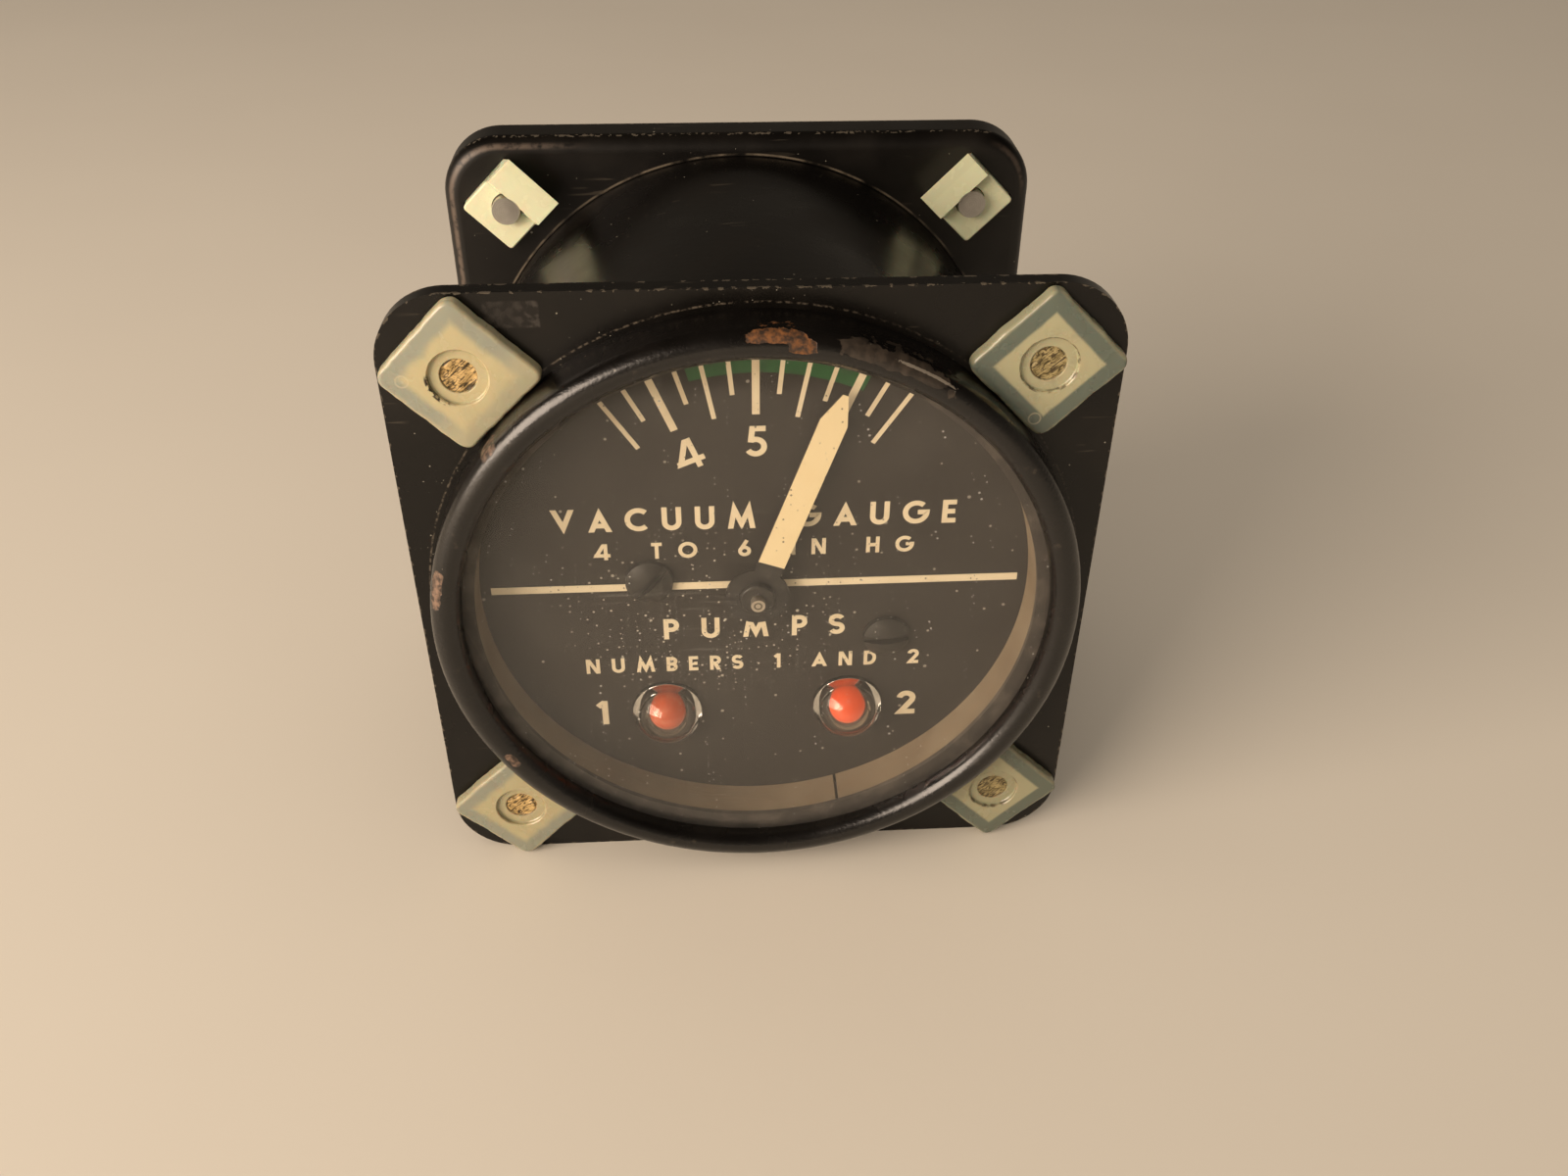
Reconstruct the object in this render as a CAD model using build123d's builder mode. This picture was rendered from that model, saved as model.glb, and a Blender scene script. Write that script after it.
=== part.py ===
from build123d import *
import os
from math import acos, cos, pi, radians, sin, sqrt, tan

os.makedirs("parts", exist_ok=True)

# Aircraft vacuum gauge for a 2-1/4 inch panel hole.
# X runs to the right, Y from the front flange's face back into the case, Z up.
# The origin is the centre of the front flange's front face. All sizes in millimetres.

# Front flange and its four panel screws
screw_circle = 66.675
flange_margin = 6.589
flange_thickness = 1.6
flange_corner = 6.0

# Drawn case and the square pan behind it
case_wall = 0.9
case_bend = 0.8
collar_wall = 0.6
pan_face = 37.5
pan_setback = 0.16
pan_corner = 6.0
pan_wall = 0.8
pan_bend = 1.5
pan_height = 4.6

# Bezel with its rolled bead, and what it clamps
bezel_wall = 0.75
bezel_nut_gap = 0.037
bead_radius = 1.3
bezel_height = 3.4
lip_turn = 0.4
glass_thickness = 1.0
gasket_thickness = 0.5
spacer_wall = 1.95
spacer_length = 3.5
spacer_slit = 0.3
spacer_slit_angle = 18.1
edge_clearance = 0.25
seat_clearance = 0.05

# Nylon captive nuts with a square flange and two legs
nut_flange_side = 9.6
nut_flange_thickness = 1.3
nut_flange_corner = 0.8
nut_flange_round = 0.35
nut_body_side = 6.3
nut_short_leg = 1.4
nut_long_leg = 3.0
nut_leg_spread = 1.35
nut_hole_radius = 1.5
nut_recess_radius = 2.4
nut_recess_depth = 0.4
nut_hole_clearance = 0.05

# Rear cover, its seal and its four screws
cover_thickness = 2.2
cover_clearance = 0.25
cover_screw_radius = 1.42
cover_screw_hole = 1.9
cover_screw_tail = 2.5
cover_head_radius = 3.2
cover_head_height = 1.9
slot_width = 0.7
slot_depth = 0.8

# Ports for the main line and the two pump lines
port_flats = 14.3
port_hex_height = 4.5
port_collar_radius = 6.6
port_length = 8.6
port_thread_radius = 4.3
port_thread_depth = 8.0
port_shank_radius = 4.8
port_shank_tail = 2.7
port_passage_radius = 1.2
port_nut_flats = 12.7
port_nut_height = 2.0
port_socket_depth = 2.0

# Dial and its print
dial_thickness = 0.8
dial_hole_radius = 1.4
print_thickness = 0.05
tick_step = 5.625
ticks_each_side = 6
tick_margin = 1.1
long_tick_length = 5.9
short_tick_length = 3.95
wide_tick = 0.65
narrow_tick = 0.4
band_width = 2.0
band_start = -14.6
band_end = 24.2
bar_margin = 0.95
bar_width = 0.75
bar_height = 0.5

# Dial screws and the posts that carry the dial
dial_screw_points = [(-9.75, 1.3), (12.2, -5.8)]
dial_screw_slots = [45.0, 3.0]
dial_head_radius = 2.15
dial_head_height = 1.2
dial_screw_radius = 0.9
dial_screw_length = 4.0
dial_post_radius = 2.0
dial_post_length = 6.2
dial_post_spigot = 1.2

# Pointer
pointer_angle = 20.0
pointer_depth = 0.6
pointer_thickness = 0.3
pointer_width = 2.45
pointer_disc_radius = 2.9
pointer_taper = 2.7
pointer_tip_margin = 2.3
pointer_tip_width = 0.5
paint_start = 3.7
bushing_radius = 1.6
bushing_height = 0.65
bushing_tail = 0.4
staff_radius = 0.64
staff_front = -0.85

# Movement plates and pillars
plate_thickness = 1.2
plate_gap = 6.8
plate_edge = 1.6
pillar_angles = [-54.0, 54.0, 180.0]
pillar_case_gap = 4.7
pillar_radius = 2.2
pillar_spigot_radius = 1.2
plate_screw_head = 1.8
plate_screw_height = 0.9
plate_screw_length = 3.4
plate_screw_radius = 0.8
cover_spigot_depth = 1.2

# Sector, pinion and hairspring
module = 0.4
pinion_teeth = 12
sector_teeth = 60
sector_teeth_cut = 11
tooth_addendum = 0.75
tooth_dedendum = 1.2
tooth_backlash = 0.1
pressure_angle = 20.0
sector_thickness = 0.8
sector_setback = 1.8
sector_rim = 1.4
sector_hub_radius = 2.0
sector_spoke_width = 1.4
arbor_radius = 0.6
pivot_clearance = 0.05
pinion_width = 1.6
rear_pivot_radius = 0.45
collet_radius = 1.3
collet_width = 1.2
collet_setback = 4.0
hairspring_pitch = 0.96
hairspring_half_turns = 6
hairspring_strip = 0.12
hairspring_width = 0.5
stud_radius = 0.4

# Rocking shaft that turns the capsule's push into the sector's swing
shaft_standoff = 3.2
shaft_radius = 0.8
tail_half_width = 0.6
tail_reach = 6.4
ball_radius = 0.5
ball_gap = 0.08
lever_wire_radius = 0.35
lever_hub_radius = 1.4
lever_hub_width = 1.6
link_arm_length = 8.0
link_arm_thickness = 0.8
link_arm_end_radius = 0.9
link_pin_radius = 0.4
link_pin_clearance = 0.08
link_thickness = 0.6
link_length = 5.2
link_end_radius = 0.9
link_side_gap = 0.2
bracket_thickness = 0.8
bracket_ear = 1.0
bracket_left = -6.0
bracket_right = 8.5
bracket_half_height = 3.5
window_half_width = 1.4
window_half_height = 2.4

# Capsule
capsule_radius = 12.0
capsule_depth = 6.0
capsule_rim = 0.8
capsule_wave = 0.9
capsule_centre_radius = 2.6
capsule_waves = 3
capsule_wall = 0.3
post_radius = 1.5
post_length = 2.4
post_slot_clearance = 0.1
stem_radius = 2.0
stem_shoulder_radius = 3.2
stem_shoulder_length = 1.2
stem_bore_radius = 0.8

# Pump indicators
indicator_reach = 8.75
indicator_height = -14.1
lens_flange_radius = 3.2
lens_flange_thickness = 0.4
lens_radius = 2.65
lens_wall = 0.5
plunger_radius = 1.85
plunger_front = -0.2
piston_radius = 3.6
piston_length = 2.5
piston_clearance = 0.1
plunger_stroke = 3.5
barrel_front = 4.0
barrel_wall = 0.7
barrel_back_wall = 1.2
barrel_collar_radius = 5.2
barrel_collar_length = 1.0
retainer_thickness = 0.8
spring_wire_radius = 0.25
spring_radius = 2.7
spring_length = 6.6
spring_turns = 5
tube_radius = 1.5
tube_bore_radius = 0.8
tube_insertion = 0.8

# Radii and widths that follow
corner_reach = screw_circle / sqrt(2) / 2
flange_side = 2 * (corner_reach + flange_margin)
pan_side = flange_side - 2 * pan_setback
bezel_radius = screw_circle / 2 - nut_flange_side / 2 - bezel_nut_gap
bezel_inner = bezel_radius - bezel_wall
lip_radius = bezel_radius - 2 * bead_radius
collar_radius = bezel_inner - seat_clearance
case_inner = collar_radius - collar_wall
case_radius = case_inner + case_wall
seal_radius = pan_side / 2 - pan_bend - seat_clearance
rear_nut_reach = flange_margin - pan_setback - pan_bend - seat_clearance / 2
rear_nut_flange_side = sqrt(2) * (rear_nut_reach + nut_flange_corner * (sqrt(2) - 1))
glass_radius = bezel_inner - edge_clearance
spacer_radius = case_inner - 3 * seat_clearance
window_radius = spacer_radius - spacer_wall
tick_outer = window_radius - tick_margin
band_inner = tick_outer - band_width
bar_length = 2 * (window_radius - bar_margin)
pointer_tip = tick_outer - pointer_tip_margin
pointer_shoulder = pointer_tip - pointer_taper
pillar_circle = case_inner - pillar_case_gap - pillar_radius
pillar_points = [(pillar_circle * sin(radians(a)), pillar_circle * cos(radians(a))) for a in pillar_angles]
barrel_radius = piston_radius + piston_clearance + barrel_wall

# Depths that follow
glass_front = lip_turn - bezel_height
glass_back = glass_front + glass_thickness
collar_front = glass_back + gasket_thickness
dial_face = collar_front + spacer_length
dial_back = dial_face + dial_thickness
front_plate_face = dial_back + dial_post_length
front_plate_back = front_plate_face + plate_thickness
back_plate_face = front_plate_back + plate_gap
back_plate_back = back_plate_face + plate_thickness
pan_back = pan_face + pan_wall
cover_face = pan_back + nut_flange_thickness
cover_back = cover_face + cover_thickness
nut_hole_side = nut_body_side + 2 * nut_hole_clearance
sector_pivot_height = module * (pinion_teeth + sector_teeth) / 2
sector_face = front_plate_back + sector_setback
sector_back = sector_face + sector_thickness
sector_middle = sector_face + sector_thickness / 2
shaft_depth = back_plate_back + shaft_standoff
shaft_height = sector_pivot_height - tail_half_width - ball_radius - ball_gap
lever_length = shaft_depth - sector_middle
sector_to_shaft_ratio = 2.0
lever_offset = lever_length / sector_to_shaft_ratio
capsule_height = shaft_height - link_arm_length
capsule_pin_depth = shaft_depth + link_length
capsule_front = capsule_pin_depth + post_length / 2
capsule_back = capsule_front + capsule_depth
port_inner_end = cover_face - port_shank_tail
barrel_back = barrel_front + retainer_thickness + seat_clearance + piston_length + spring_length
barrel_end = barrel_back + barrel_back_wall
corners = [(-1, 1), (1, 1), (-1, -1), (1, -1)]


def facing(depth, x=0.0, z=0.0):
    """Plane at a depth that looks out of the front, with local x to the right and y up."""
    return Plane(origin=(x, depth, z), x_dir=(1, 0, 0), z_dir=(0, -1, 0))


def pointing(depth, angle):
    """The same plane turned clockwise on the pointer's axis, so that local y leads to the angle."""
    turn = radians(angle)
    return Plane(origin=(0, depth, 0), x_dir=(cos(turn), 0, -sin(turn)), z_dir=(0, -1, 0))


def sideways(x, depth, z):
    """Plane across the X axis, with local x running back and local y up."""
    return Plane(origin=(x, depth, z), x_dir=(0, 1, 0), z_dir=(1, 0, 0))


def half_section(x=0.0, z=0.0):
    """Plane for a turned profile: local x is the radius and local y the depth."""
    return Plane(origin=(x, 0, z), x_dir=(1, 0, 0), z_dir=(0, 0, 1))


def lathe(x=0.0, z=0.0):
    """Axis of a turned piece, running back into the case."""
    return Axis((x, 0, z), (0, 1, 0))


def nut_plane(side, level, depth, outward):
    """Plane on a captive nut's axis whose local x leads to the upper or lower middle."""
    return Plane(
        origin=(side * corner_reach, depth, level * corner_reach),
        x_dir=(-side, 0, level),
        z_dir=(0, outward, 0),
    )


def finish(piece, name):
    """Label a finished piece and write it."""
    piece.part.label = name
    export_step(piece.part, f"parts/{name}.step")


def turned(name, points, x=0.0, z=0.0):
    """A piece turned from a closed outline of (radius, depth) corners."""
    with BuildPart() as piece:
        with BuildSketch(half_section(x, z)):
            with BuildLine():
                Polyline(*points, close=True)
            make_face()
        revolve(axis=lathe(x, z))
    finish(piece, name)


# Case: a drawn can with a square front flange and a collar that the bezel fits over
with BuildPart() as case_body:
    with BuildSketch(facing(flange_thickness)):
        RectangleRounded(flange_side, flange_side, flange_corner)
        Circle(case_inner, mode=Mode.SUBTRACT)
    extrude(amount=flange_thickness)
    with BuildSketch(facing(pan_back)):
        Circle(case_radius)
        Circle(case_inner, mode=Mode.SUBTRACT)
    extrude(amount=pan_back - flange_thickness)
    with BuildSketch(facing(0)):
        Circle(collar_radius)
        Circle(case_inner, mode=Mode.SUBTRACT)
    extrude(amount=-collar_front)
    for side, level in corners:
        with BuildSketch(nut_plane(side, level, 0, 1)):
            Rectangle(nut_hole_side, nut_hole_side)
        extrude(amount=flange_thickness, mode=Mode.SUBTRACT)
    root_edge = case_body.edges().filter_by(GeomType.CIRCLE).sort_by(
        lambda edge: abs(edge.center().Y - flange_thickness) + abs(edge.radius - case_radius)
    )[0]
    fillet(root_edge, case_bend)
finish(case_body, "case_body")

# Rear pan: drawn from sheet, open to the back, fitted round the can's end
with BuildPart() as rear_pan:
    with BuildSketch(facing(pan_face + pan_height)):
        RectangleRounded(pan_side, pan_side, pan_corner)
    extrude(amount=pan_height)
    front_edges = rear_pan.faces().sort_by(Axis.Y)[0].edges()
    fillet(front_edges, pan_bend)
    offset(amount=-pan_wall, openings=rear_pan.faces().sort_by(Axis.Y)[-1])
    with BuildSketch(facing(pan_back)):
        Circle(case_radius + seat_clearance)
    extrude(amount=pan_wall, mode=Mode.SUBTRACT)
    for side, level in corners:
        with BuildSketch(nut_plane(side, level, pan_back, -1)):
            Rectangle(nut_hole_side, nut_hole_side)
        extrude(amount=pan_wall, mode=Mode.SUBTRACT)
finish(rear_pan, "rear_pan")

# Bezel: sheet drawn into a wall, a rolled bead and an inner lip that holds the glass
with BuildPart() as bezel_ring:
    bead_centre = bezel_radius - bead_radius
    inner_bead = bead_radius - bezel_wall
    with BuildSketch(half_section()):
        with BuildLine():
            Line((bezel_radius, 0), (bezel_radius, -bezel_height))
            ThreePointArc(
                (bezel_radius, -bezel_height),
                (bead_centre, -bezel_height - bead_radius),
                (lip_radius, -bezel_height),
            )
            Polyline(
                (lip_radius, -bezel_height),
                (lip_radius, glass_front),
                (lip_radius + bezel_wall, glass_front),
                (lip_radius + bezel_wall, -bezel_height),
            )
            ThreePointArc(
                (lip_radius + bezel_wall, -bezel_height),
                (bead_centre, -bezel_height - inner_bead),
                (bezel_inner, -bezel_height),
            )
            Polyline((bezel_inner, -bezel_height), (bezel_inner, 0), (bezel_radius, 0))
        make_face()
    revolve(axis=lathe())
finish(bezel_ring, "bezel_ring")

# Glass, its gasket and the split spacer that stands between it and the dial
with BuildPart() as glass:
    with BuildSketch(facing(glass_back)):
        Circle(glass_radius)
    extrude(amount=glass_thickness)
finish(glass, "glass")

with BuildPart() as glass_gasket:
    with BuildSketch(facing(collar_front)):
        Circle(glass_radius)
        Circle(window_radius, mode=Mode.SUBTRACT)
    extrude(amount=gasket_thickness)
finish(glass_gasket, "glass_gasket")

with BuildPart() as spacer_ring:
    with BuildSketch(facing(dial_face)):
        Circle(spacer_radius)
        Circle(window_radius, mode=Mode.SUBTRACT)
        with PolarLocations(spacer_radius, 1, start_angle=spacer_slit_angle - 90):
            Rectangle(4 * spacer_wall, spacer_slit, mode=Mode.SUBTRACT)
    extrude(amount=spacer_length)
finish(spacer_ring, "spacer_ring")


# Captive nuts: nylon, turned 45 degrees, with a long leg on the inner half and a short one beside it
def captive_nuts(name, flange_width, leg_spread, seat, panel, outward):
    """Four nuts seated at a depth on a panel, with their flanges on the outward side.

    A screw that is driven home spreads each long leg away from the axis.
    """
    with BuildPart() as nuts:
        for side, level in corners:
            seat_plane = nut_plane(side, level, seat, outward)
            with BuildSketch(seat_plane):
                RectangleRounded(flange_width, flange_width, nut_flange_corner)
            extrude(amount=nut_flange_thickness)
            with BuildSketch(seat_plane):
                Rectangle(nut_body_side, nut_body_side)
            extrude(amount=-(panel + nut_short_leg))
            for reach, shift in ((panel, 0), (panel + nut_long_leg, leg_spread)):
                with BuildSketch(seat_plane.offset(-reach)):
                    with Locations((nut_body_side / 4 + shift, 0)):
                        Rectangle(nut_body_side / 2, nut_body_side)
            loft()
        outer_faces = nuts.faces().filter_by(Axis.Y).sort_by(Axis.Y, reverse=outward > 0)[0:4]
        chamfer(outer_faces.edges(), nut_flange_round)
        for side, level in corners:
            outer_plane = nut_plane(side, level, seat + outward * nut_flange_thickness, outward)
            with BuildSketch(outer_plane):
                Circle(nut_recess_radius)
            extrude(amount=-nut_recess_depth, mode=Mode.SUBTRACT)
            with BuildSketch(outer_plane):
                Circle(nut_hole_radius)
            extrude(amount=-(nut_flange_thickness + panel + nut_long_leg), mode=Mode.SUBTRACT)
    finish(nuts, name)


captive_nuts("front_captive_nuts", nut_flange_side, 0, 0, flange_thickness, -1)
captive_nuts("rear_captive_nuts", rear_nut_flange_side, nut_leg_spread, pan_back, pan_wall, 1)

# Rear cover: a plate inside the pan's wall that seats on the captive nuts
cover_side = pan_side - 2 * pan_wall - 2 * cover_clearance
cover_corner = pan_corner - pan_wall - cover_clearance
port_points = [(0.0, capsule_height), (-indicator_reach, indicator_height), (indicator_reach, indicator_height)]

with BuildPart() as rear_cover:
    with BuildSketch(facing(cover_back)):
        RectangleRounded(cover_side, cover_side, cover_corner)
        with Locations(*port_points):
            Circle(port_shank_radius + seat_clearance, mode=Mode.SUBTRACT)
        with GridLocations(2 * corner_reach, 2 * corner_reach, 2, 2):
            Circle(cover_screw_hole, mode=Mode.SUBTRACT)
    extrude(amount=cover_thickness)
    with BuildSketch(facing(cover_face + cover_spigot_depth)):
        with Locations(*pillar_points):
            Circle(pillar_spigot_radius + seat_clearance)
    extrude(amount=cover_spigot_depth, mode=Mode.SUBTRACT)
finish(rear_cover, "rear_cover")

# Seal between the can's end, the pan and the cover
with BuildPart() as rear_seal:
    with BuildSketch(facing(cover_face)):
        Circle(seal_radius)
        Circle(case_inner - cover_clearance, mode=Mode.SUBTRACT)
    extrude(amount=nut_flange_thickness)
finish(rear_seal, "rear_seal")

# Four pan head screws from the back, through the cover into the captive nuts
with BuildPart() as cover_screws:
    tail_depth = pan_face - cover_screw_tail
    for side, level in corners:
        x, z = side * corner_reach, level * corner_reach
        with BuildSketch(half_section(x, z)):
            with BuildLine():
                Polyline(
                    (0, tail_depth),
                    (cover_screw_radius - seat_clearance, tail_depth),
                    (cover_screw_radius, tail_depth + 2 * seat_clearance),
                    (cover_screw_radius, cover_back),
                    (cover_head_radius, cover_back),
                    (cover_head_radius, cover_back + cover_head_height / 2),
                )
                head_top = (0, cover_back + cover_head_height)
                TangentArc(head_top, (cover_head_radius, cover_back + cover_head_height / 2), tangent=(1, 0))
                Line(head_top, (0, tail_depth))
            make_face()
        revolve(axis=lathe(x, z))
        with BuildSketch(facing(cover_back + cover_head_height, x, z)):
            Rectangle(2 * cover_head_radius, slot_width)
        extrude(amount=slot_depth, mode=Mode.SUBTRACT)
finish(cover_screws, "cover_screws")


# Ports: hex fittings with a pipe thread, held in the cover by a nut inside
def port(name, x, z, socket_radius):
    """A port on its own axis, with a socket inside for a stem or a tube."""
    with BuildPart() as fitting:
        with BuildSketch(facing(cover_back + port_hex_height, x, z)):
            RegularPolygon(port_flats / 2, 6, major_radius=False, rotation=30)
        extrude(amount=port_hex_height)
        with BuildSketch(facing(cover_back + port_length, x, z)):
            Circle(port_collar_radius)
        extrude(amount=port_length - port_hex_height)
        with BuildSketch(facing(cover_back, x, z)):
            Circle(port_shank_radius)
        extrude(amount=cover_back - port_inner_end)
        with BuildSketch(facing(cover_back + port_length, x, z)):
            Circle(port_passage_radius)
        extrude(amount=cover_back + port_length - port_inner_end, mode=Mode.SUBTRACT)
        with BuildSketch(facing(cover_back + port_length, x, z)):
            Circle(port_thread_radius)
        extrude(amount=port_thread_depth, mode=Mode.SUBTRACT)
        with BuildSketch(facing(port_inner_end + port_socket_depth, x, z)):
            Circle(socket_radius)
        extrude(amount=port_socket_depth, mode=Mode.SUBTRACT)
    finish(fitting, name)


port("main_port", *port_points[0], stem_radius + seat_clearance)
port("left_pump_port", *port_points[1], tube_radius + seat_clearance)
port("right_pump_port", *port_points[2], tube_radius + seat_clearance)

with BuildPart() as port_nuts:
    with BuildSketch(facing(cover_face)):
        with Locations(*port_points):
            RegularPolygon(port_nut_flats / 2, 6, major_radius=False, rotation=30)
            Circle(port_shank_radius + seat_clearance, mode=Mode.SUBTRACT)
    extrude(amount=port_nut_height)
finish(port_nuts, "port_nuts")

# Dial plate
with BuildPart() as dial_plate:
    with BuildSketch(facing(dial_back)):
        Circle(spacer_radius)
        Circle(dial_hole_radius, mode=Mode.SUBTRACT)
        with Locations((-indicator_reach, indicator_height), (indicator_reach, indicator_height)):
            Circle(lens_radius + seat_clearance, mode=Mode.SUBTRACT)
        with Locations(*dial_screw_points):
            Circle(dial_screw_radius + seat_clearance, mode=Mode.SUBTRACT)
    extrude(amount=dial_thickness)
finish(dial_plate, "dial_plate")


def tick(index, mode=Mode.ADD):
    """One line of the scale in the sketch that is open, counted clockwise from the top."""
    long_tick = index % 2 == 0
    inner = tick_outer - (long_tick_length if long_tick else short_tick_length)
    width = wide_tick if index % 4 == 0 else narrow_tick
    middle = (tick_outer + inner) / 2
    turn = radians(index * tick_step)
    with Locations((middle * sin(turn), middle * cos(turn))):
        Rectangle(width, tick_outer - inner, rotation=-index * tick_step, mode=mode)


# Scale lines and the horizontal bar, cut clear of the screw heads
with BuildPart() as scale_marks:
    with BuildSketch(facing(dial_face)):
        for index in range(-ticks_each_side, ticks_each_side + 1):
            tick(index)
        with Locations((0, bar_height)):
            Rectangle(bar_length, bar_width)
        with Locations(*dial_screw_points):
            Circle(dial_head_radius + seat_clearance, mode=Mode.SUBTRACT)
        Circle(dial_hole_radius, mode=Mode.SUBTRACT)
    extrude(amount=print_thickness)
finish(scale_marks, "scale_marks")

# Green band of the normal range, cut clear of the lines
with BuildPart() as green_band:
    with BuildSketch(facing(dial_face)):
        with BuildLine():
            outer = CenterArc((0, 0), tick_outer, 90 - band_end, band_end - band_start)
            inner = CenterArc((0, 0), band_inner, 90 - band_end, band_end - band_start)
            Line(outer @ 0, inner @ 0)
            Line(outer @ 1, inner @ 1)
        make_face()
        for index in range(-ticks_each_side, ticks_each_side + 1):
            tick(index, Mode.SUBTRACT)
    extrude(amount=print_thickness)
finish(green_band, "green_band")

# Two domed slotted screws that hold the dial to its posts
with BuildPart() as dial_screws:
    for (x, z), slot_angle in zip(dial_screw_points, dial_screw_slots):
        head_top = dial_face - dial_head_height
        head_side = dial_face - dial_head_height / 2
        with BuildSketch(half_section(x, z)):
            with BuildLine():
                Polyline(
                    (0, dial_face + dial_screw_length),
                    (dial_screw_radius, dial_face + dial_screw_length),
                    (dial_screw_radius, dial_face),
                    (dial_head_radius, dial_face),
                    (dial_head_radius, head_side),
                )
                TangentArc((0, head_top), (dial_head_radius, head_side), tangent=(1, 0))
                Line((0, head_top), (0, dial_face + dial_screw_length))
            make_face()
        revolve(axis=lathe(x, z))
        with BuildSketch(facing(head_top, x, z)):
            Rectangle(2 * dial_head_radius, slot_width, rotation=slot_angle)
        extrude(amount=-slot_depth, mode=Mode.SUBTRACT)
finish(dial_screws, "dial_screws")

# Posts between the dial and the front plate, tapped for the dial screws
with BuildPart() as dial_posts:
    for x, z in dial_screw_points:
        with BuildSketch(facing(front_plate_face, x, z)):
            Circle(dial_post_radius)
        extrude(amount=dial_post_length)
        with BuildSketch(facing(front_plate_back, x, z)):
            Circle(dial_post_spigot)
        extrude(amount=plate_thickness)
        with BuildSketch(facing(dial_back, x, z)):
            Circle(dial_screw_radius + seat_clearance)
        extrude(amount=-(dial_screw_length - dial_thickness + seat_clearance), mode=Mode.SUBTRACT)
finish(dial_posts, "dial_posts")

# Pointer: a sheet blade on a round disc, its painted face, and the bushing that grips the staff
with BuildPart() as pointer:
    with BuildSketch(pointing(pointer_depth + pointer_thickness, pointer_angle)):
        with BuildLine():
            Polyline(
                (-pointer_width / 2, 0),
                (-pointer_width / 2, pointer_shoulder),
                (-pointer_tip_width / 2, pointer_tip),
                (pointer_tip_width / 2, pointer_tip),
                (pointer_width / 2, pointer_shoulder),
                (pointer_width / 2, 0),
                close=True,
            )
        make_face()
        Circle(pointer_disc_radius)
        Circle(staff_radius + bushing_tail, mode=Mode.SUBTRACT)
    extrude(amount=pointer_thickness)
finish(pointer, "pointer")

with BuildPart() as pointer_paint:
    with BuildSketch(pointing(pointer_depth, pointer_angle)):
        with BuildLine():
            Polyline(
                (-pointer_width / 2, paint_start),
                (-pointer_width / 2, pointer_shoulder),
                (-pointer_tip_width / 2, pointer_tip),
                (pointer_tip_width / 2, pointer_tip),
                (pointer_width / 2, pointer_shoulder),
                (pointer_width / 2, paint_start),
                close=True,
            )
        make_face()
    extrude(amount=print_thickness)
finish(pointer_paint, "pointer_paint")

turned(
    "pointer_bushing",
    [
        (staff_radius, pointer_depth - bushing_height),
        (bushing_radius - 2 * print_thickness, pointer_depth - bushing_height),
        (bushing_radius, pointer_depth - bushing_height + 2 * print_thickness),
        (bushing_radius, pointer_depth),
        (staff_radius + bushing_tail, pointer_depth),
        (staff_radius + bushing_tail, pointer_depth + pointer_thickness + bushing_tail),
        (staff_radius, pointer_depth + pointer_thickness + bushing_tail),
    ],
)


def tooth(teeth):
    """Outline of one involute tooth in the sketch that is open, centred on local x.

    The flank at a radius is where the string unwound from the base circle reaches it.
    """
    pitch_radius = module * teeth / 2
    base_radius = pitch_radius * cos(radians(pressure_angle))
    tip_radius = pitch_radius + tooth_addendum * module
    root_radius = pitch_radius - tooth_dedendum * module
    involute_at_pitch = tan(radians(pressure_angle)) - radians(pressure_angle)
    half_tooth = pi / 2 / teeth - tooth_backlash / 2 / pitch_radius
    flank_start = max(root_radius, base_radius)
    flank = [(root_radius - module / 2, half_tooth + involute_at_pitch)]
    for step in range(4):
        radius = flank_start + (tip_radius - flank_start) * step / 3
        roll = acos(base_radius / radius)
        flank.append((radius, half_tooth + involute_at_pitch - (tan(roll) - roll)))
    flank[0] = (flank[0][0], flank[1][1])
    upper = [(radius * cos(turn), radius * sin(turn)) for radius, turn in flank]
    lower = [(x, -y) for x, y in reversed(upper)]
    Polygon(*upper, *lower, align=None)


# Pinion staff: one turned piece with the pinion's teeth cut in it
with BuildPart() as pinion_staff:
    pinion_face = sector_middle - pinion_width / 2
    pinion_root = module * pinion_teeth / 2 - tooth_dedendum * module
    with BuildSketch(facing(back_plate_face - pivot_clearance)):
        Circle(staff_radius)
    extrude(amount=back_plate_face - pivot_clearance - staff_front)
    with BuildSketch(facing(back_plate_back)):
        Circle(rear_pivot_radius)
    extrude(amount=plate_thickness + pivot_clearance)
    with BuildSketch(facing(pinion_face + pinion_width)):
        Circle(pinion_root)
        with PolarLocations(0, pinion_teeth, start_angle=90 + 180 / pinion_teeth):
            tooth(pinion_teeth)
    extrude(amount=pinion_width)
finish(pinion_staff, "pinion_staff")

# Sector: a toothed rim on two spokes, with a tail that the rocking lever lifts
sector_pitch_radius = module * sector_teeth / 2
sector_root = sector_pitch_radius - tooth_dedendum * module
rim_sweep = sector_teeth_cut * 360 / sector_teeth

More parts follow.
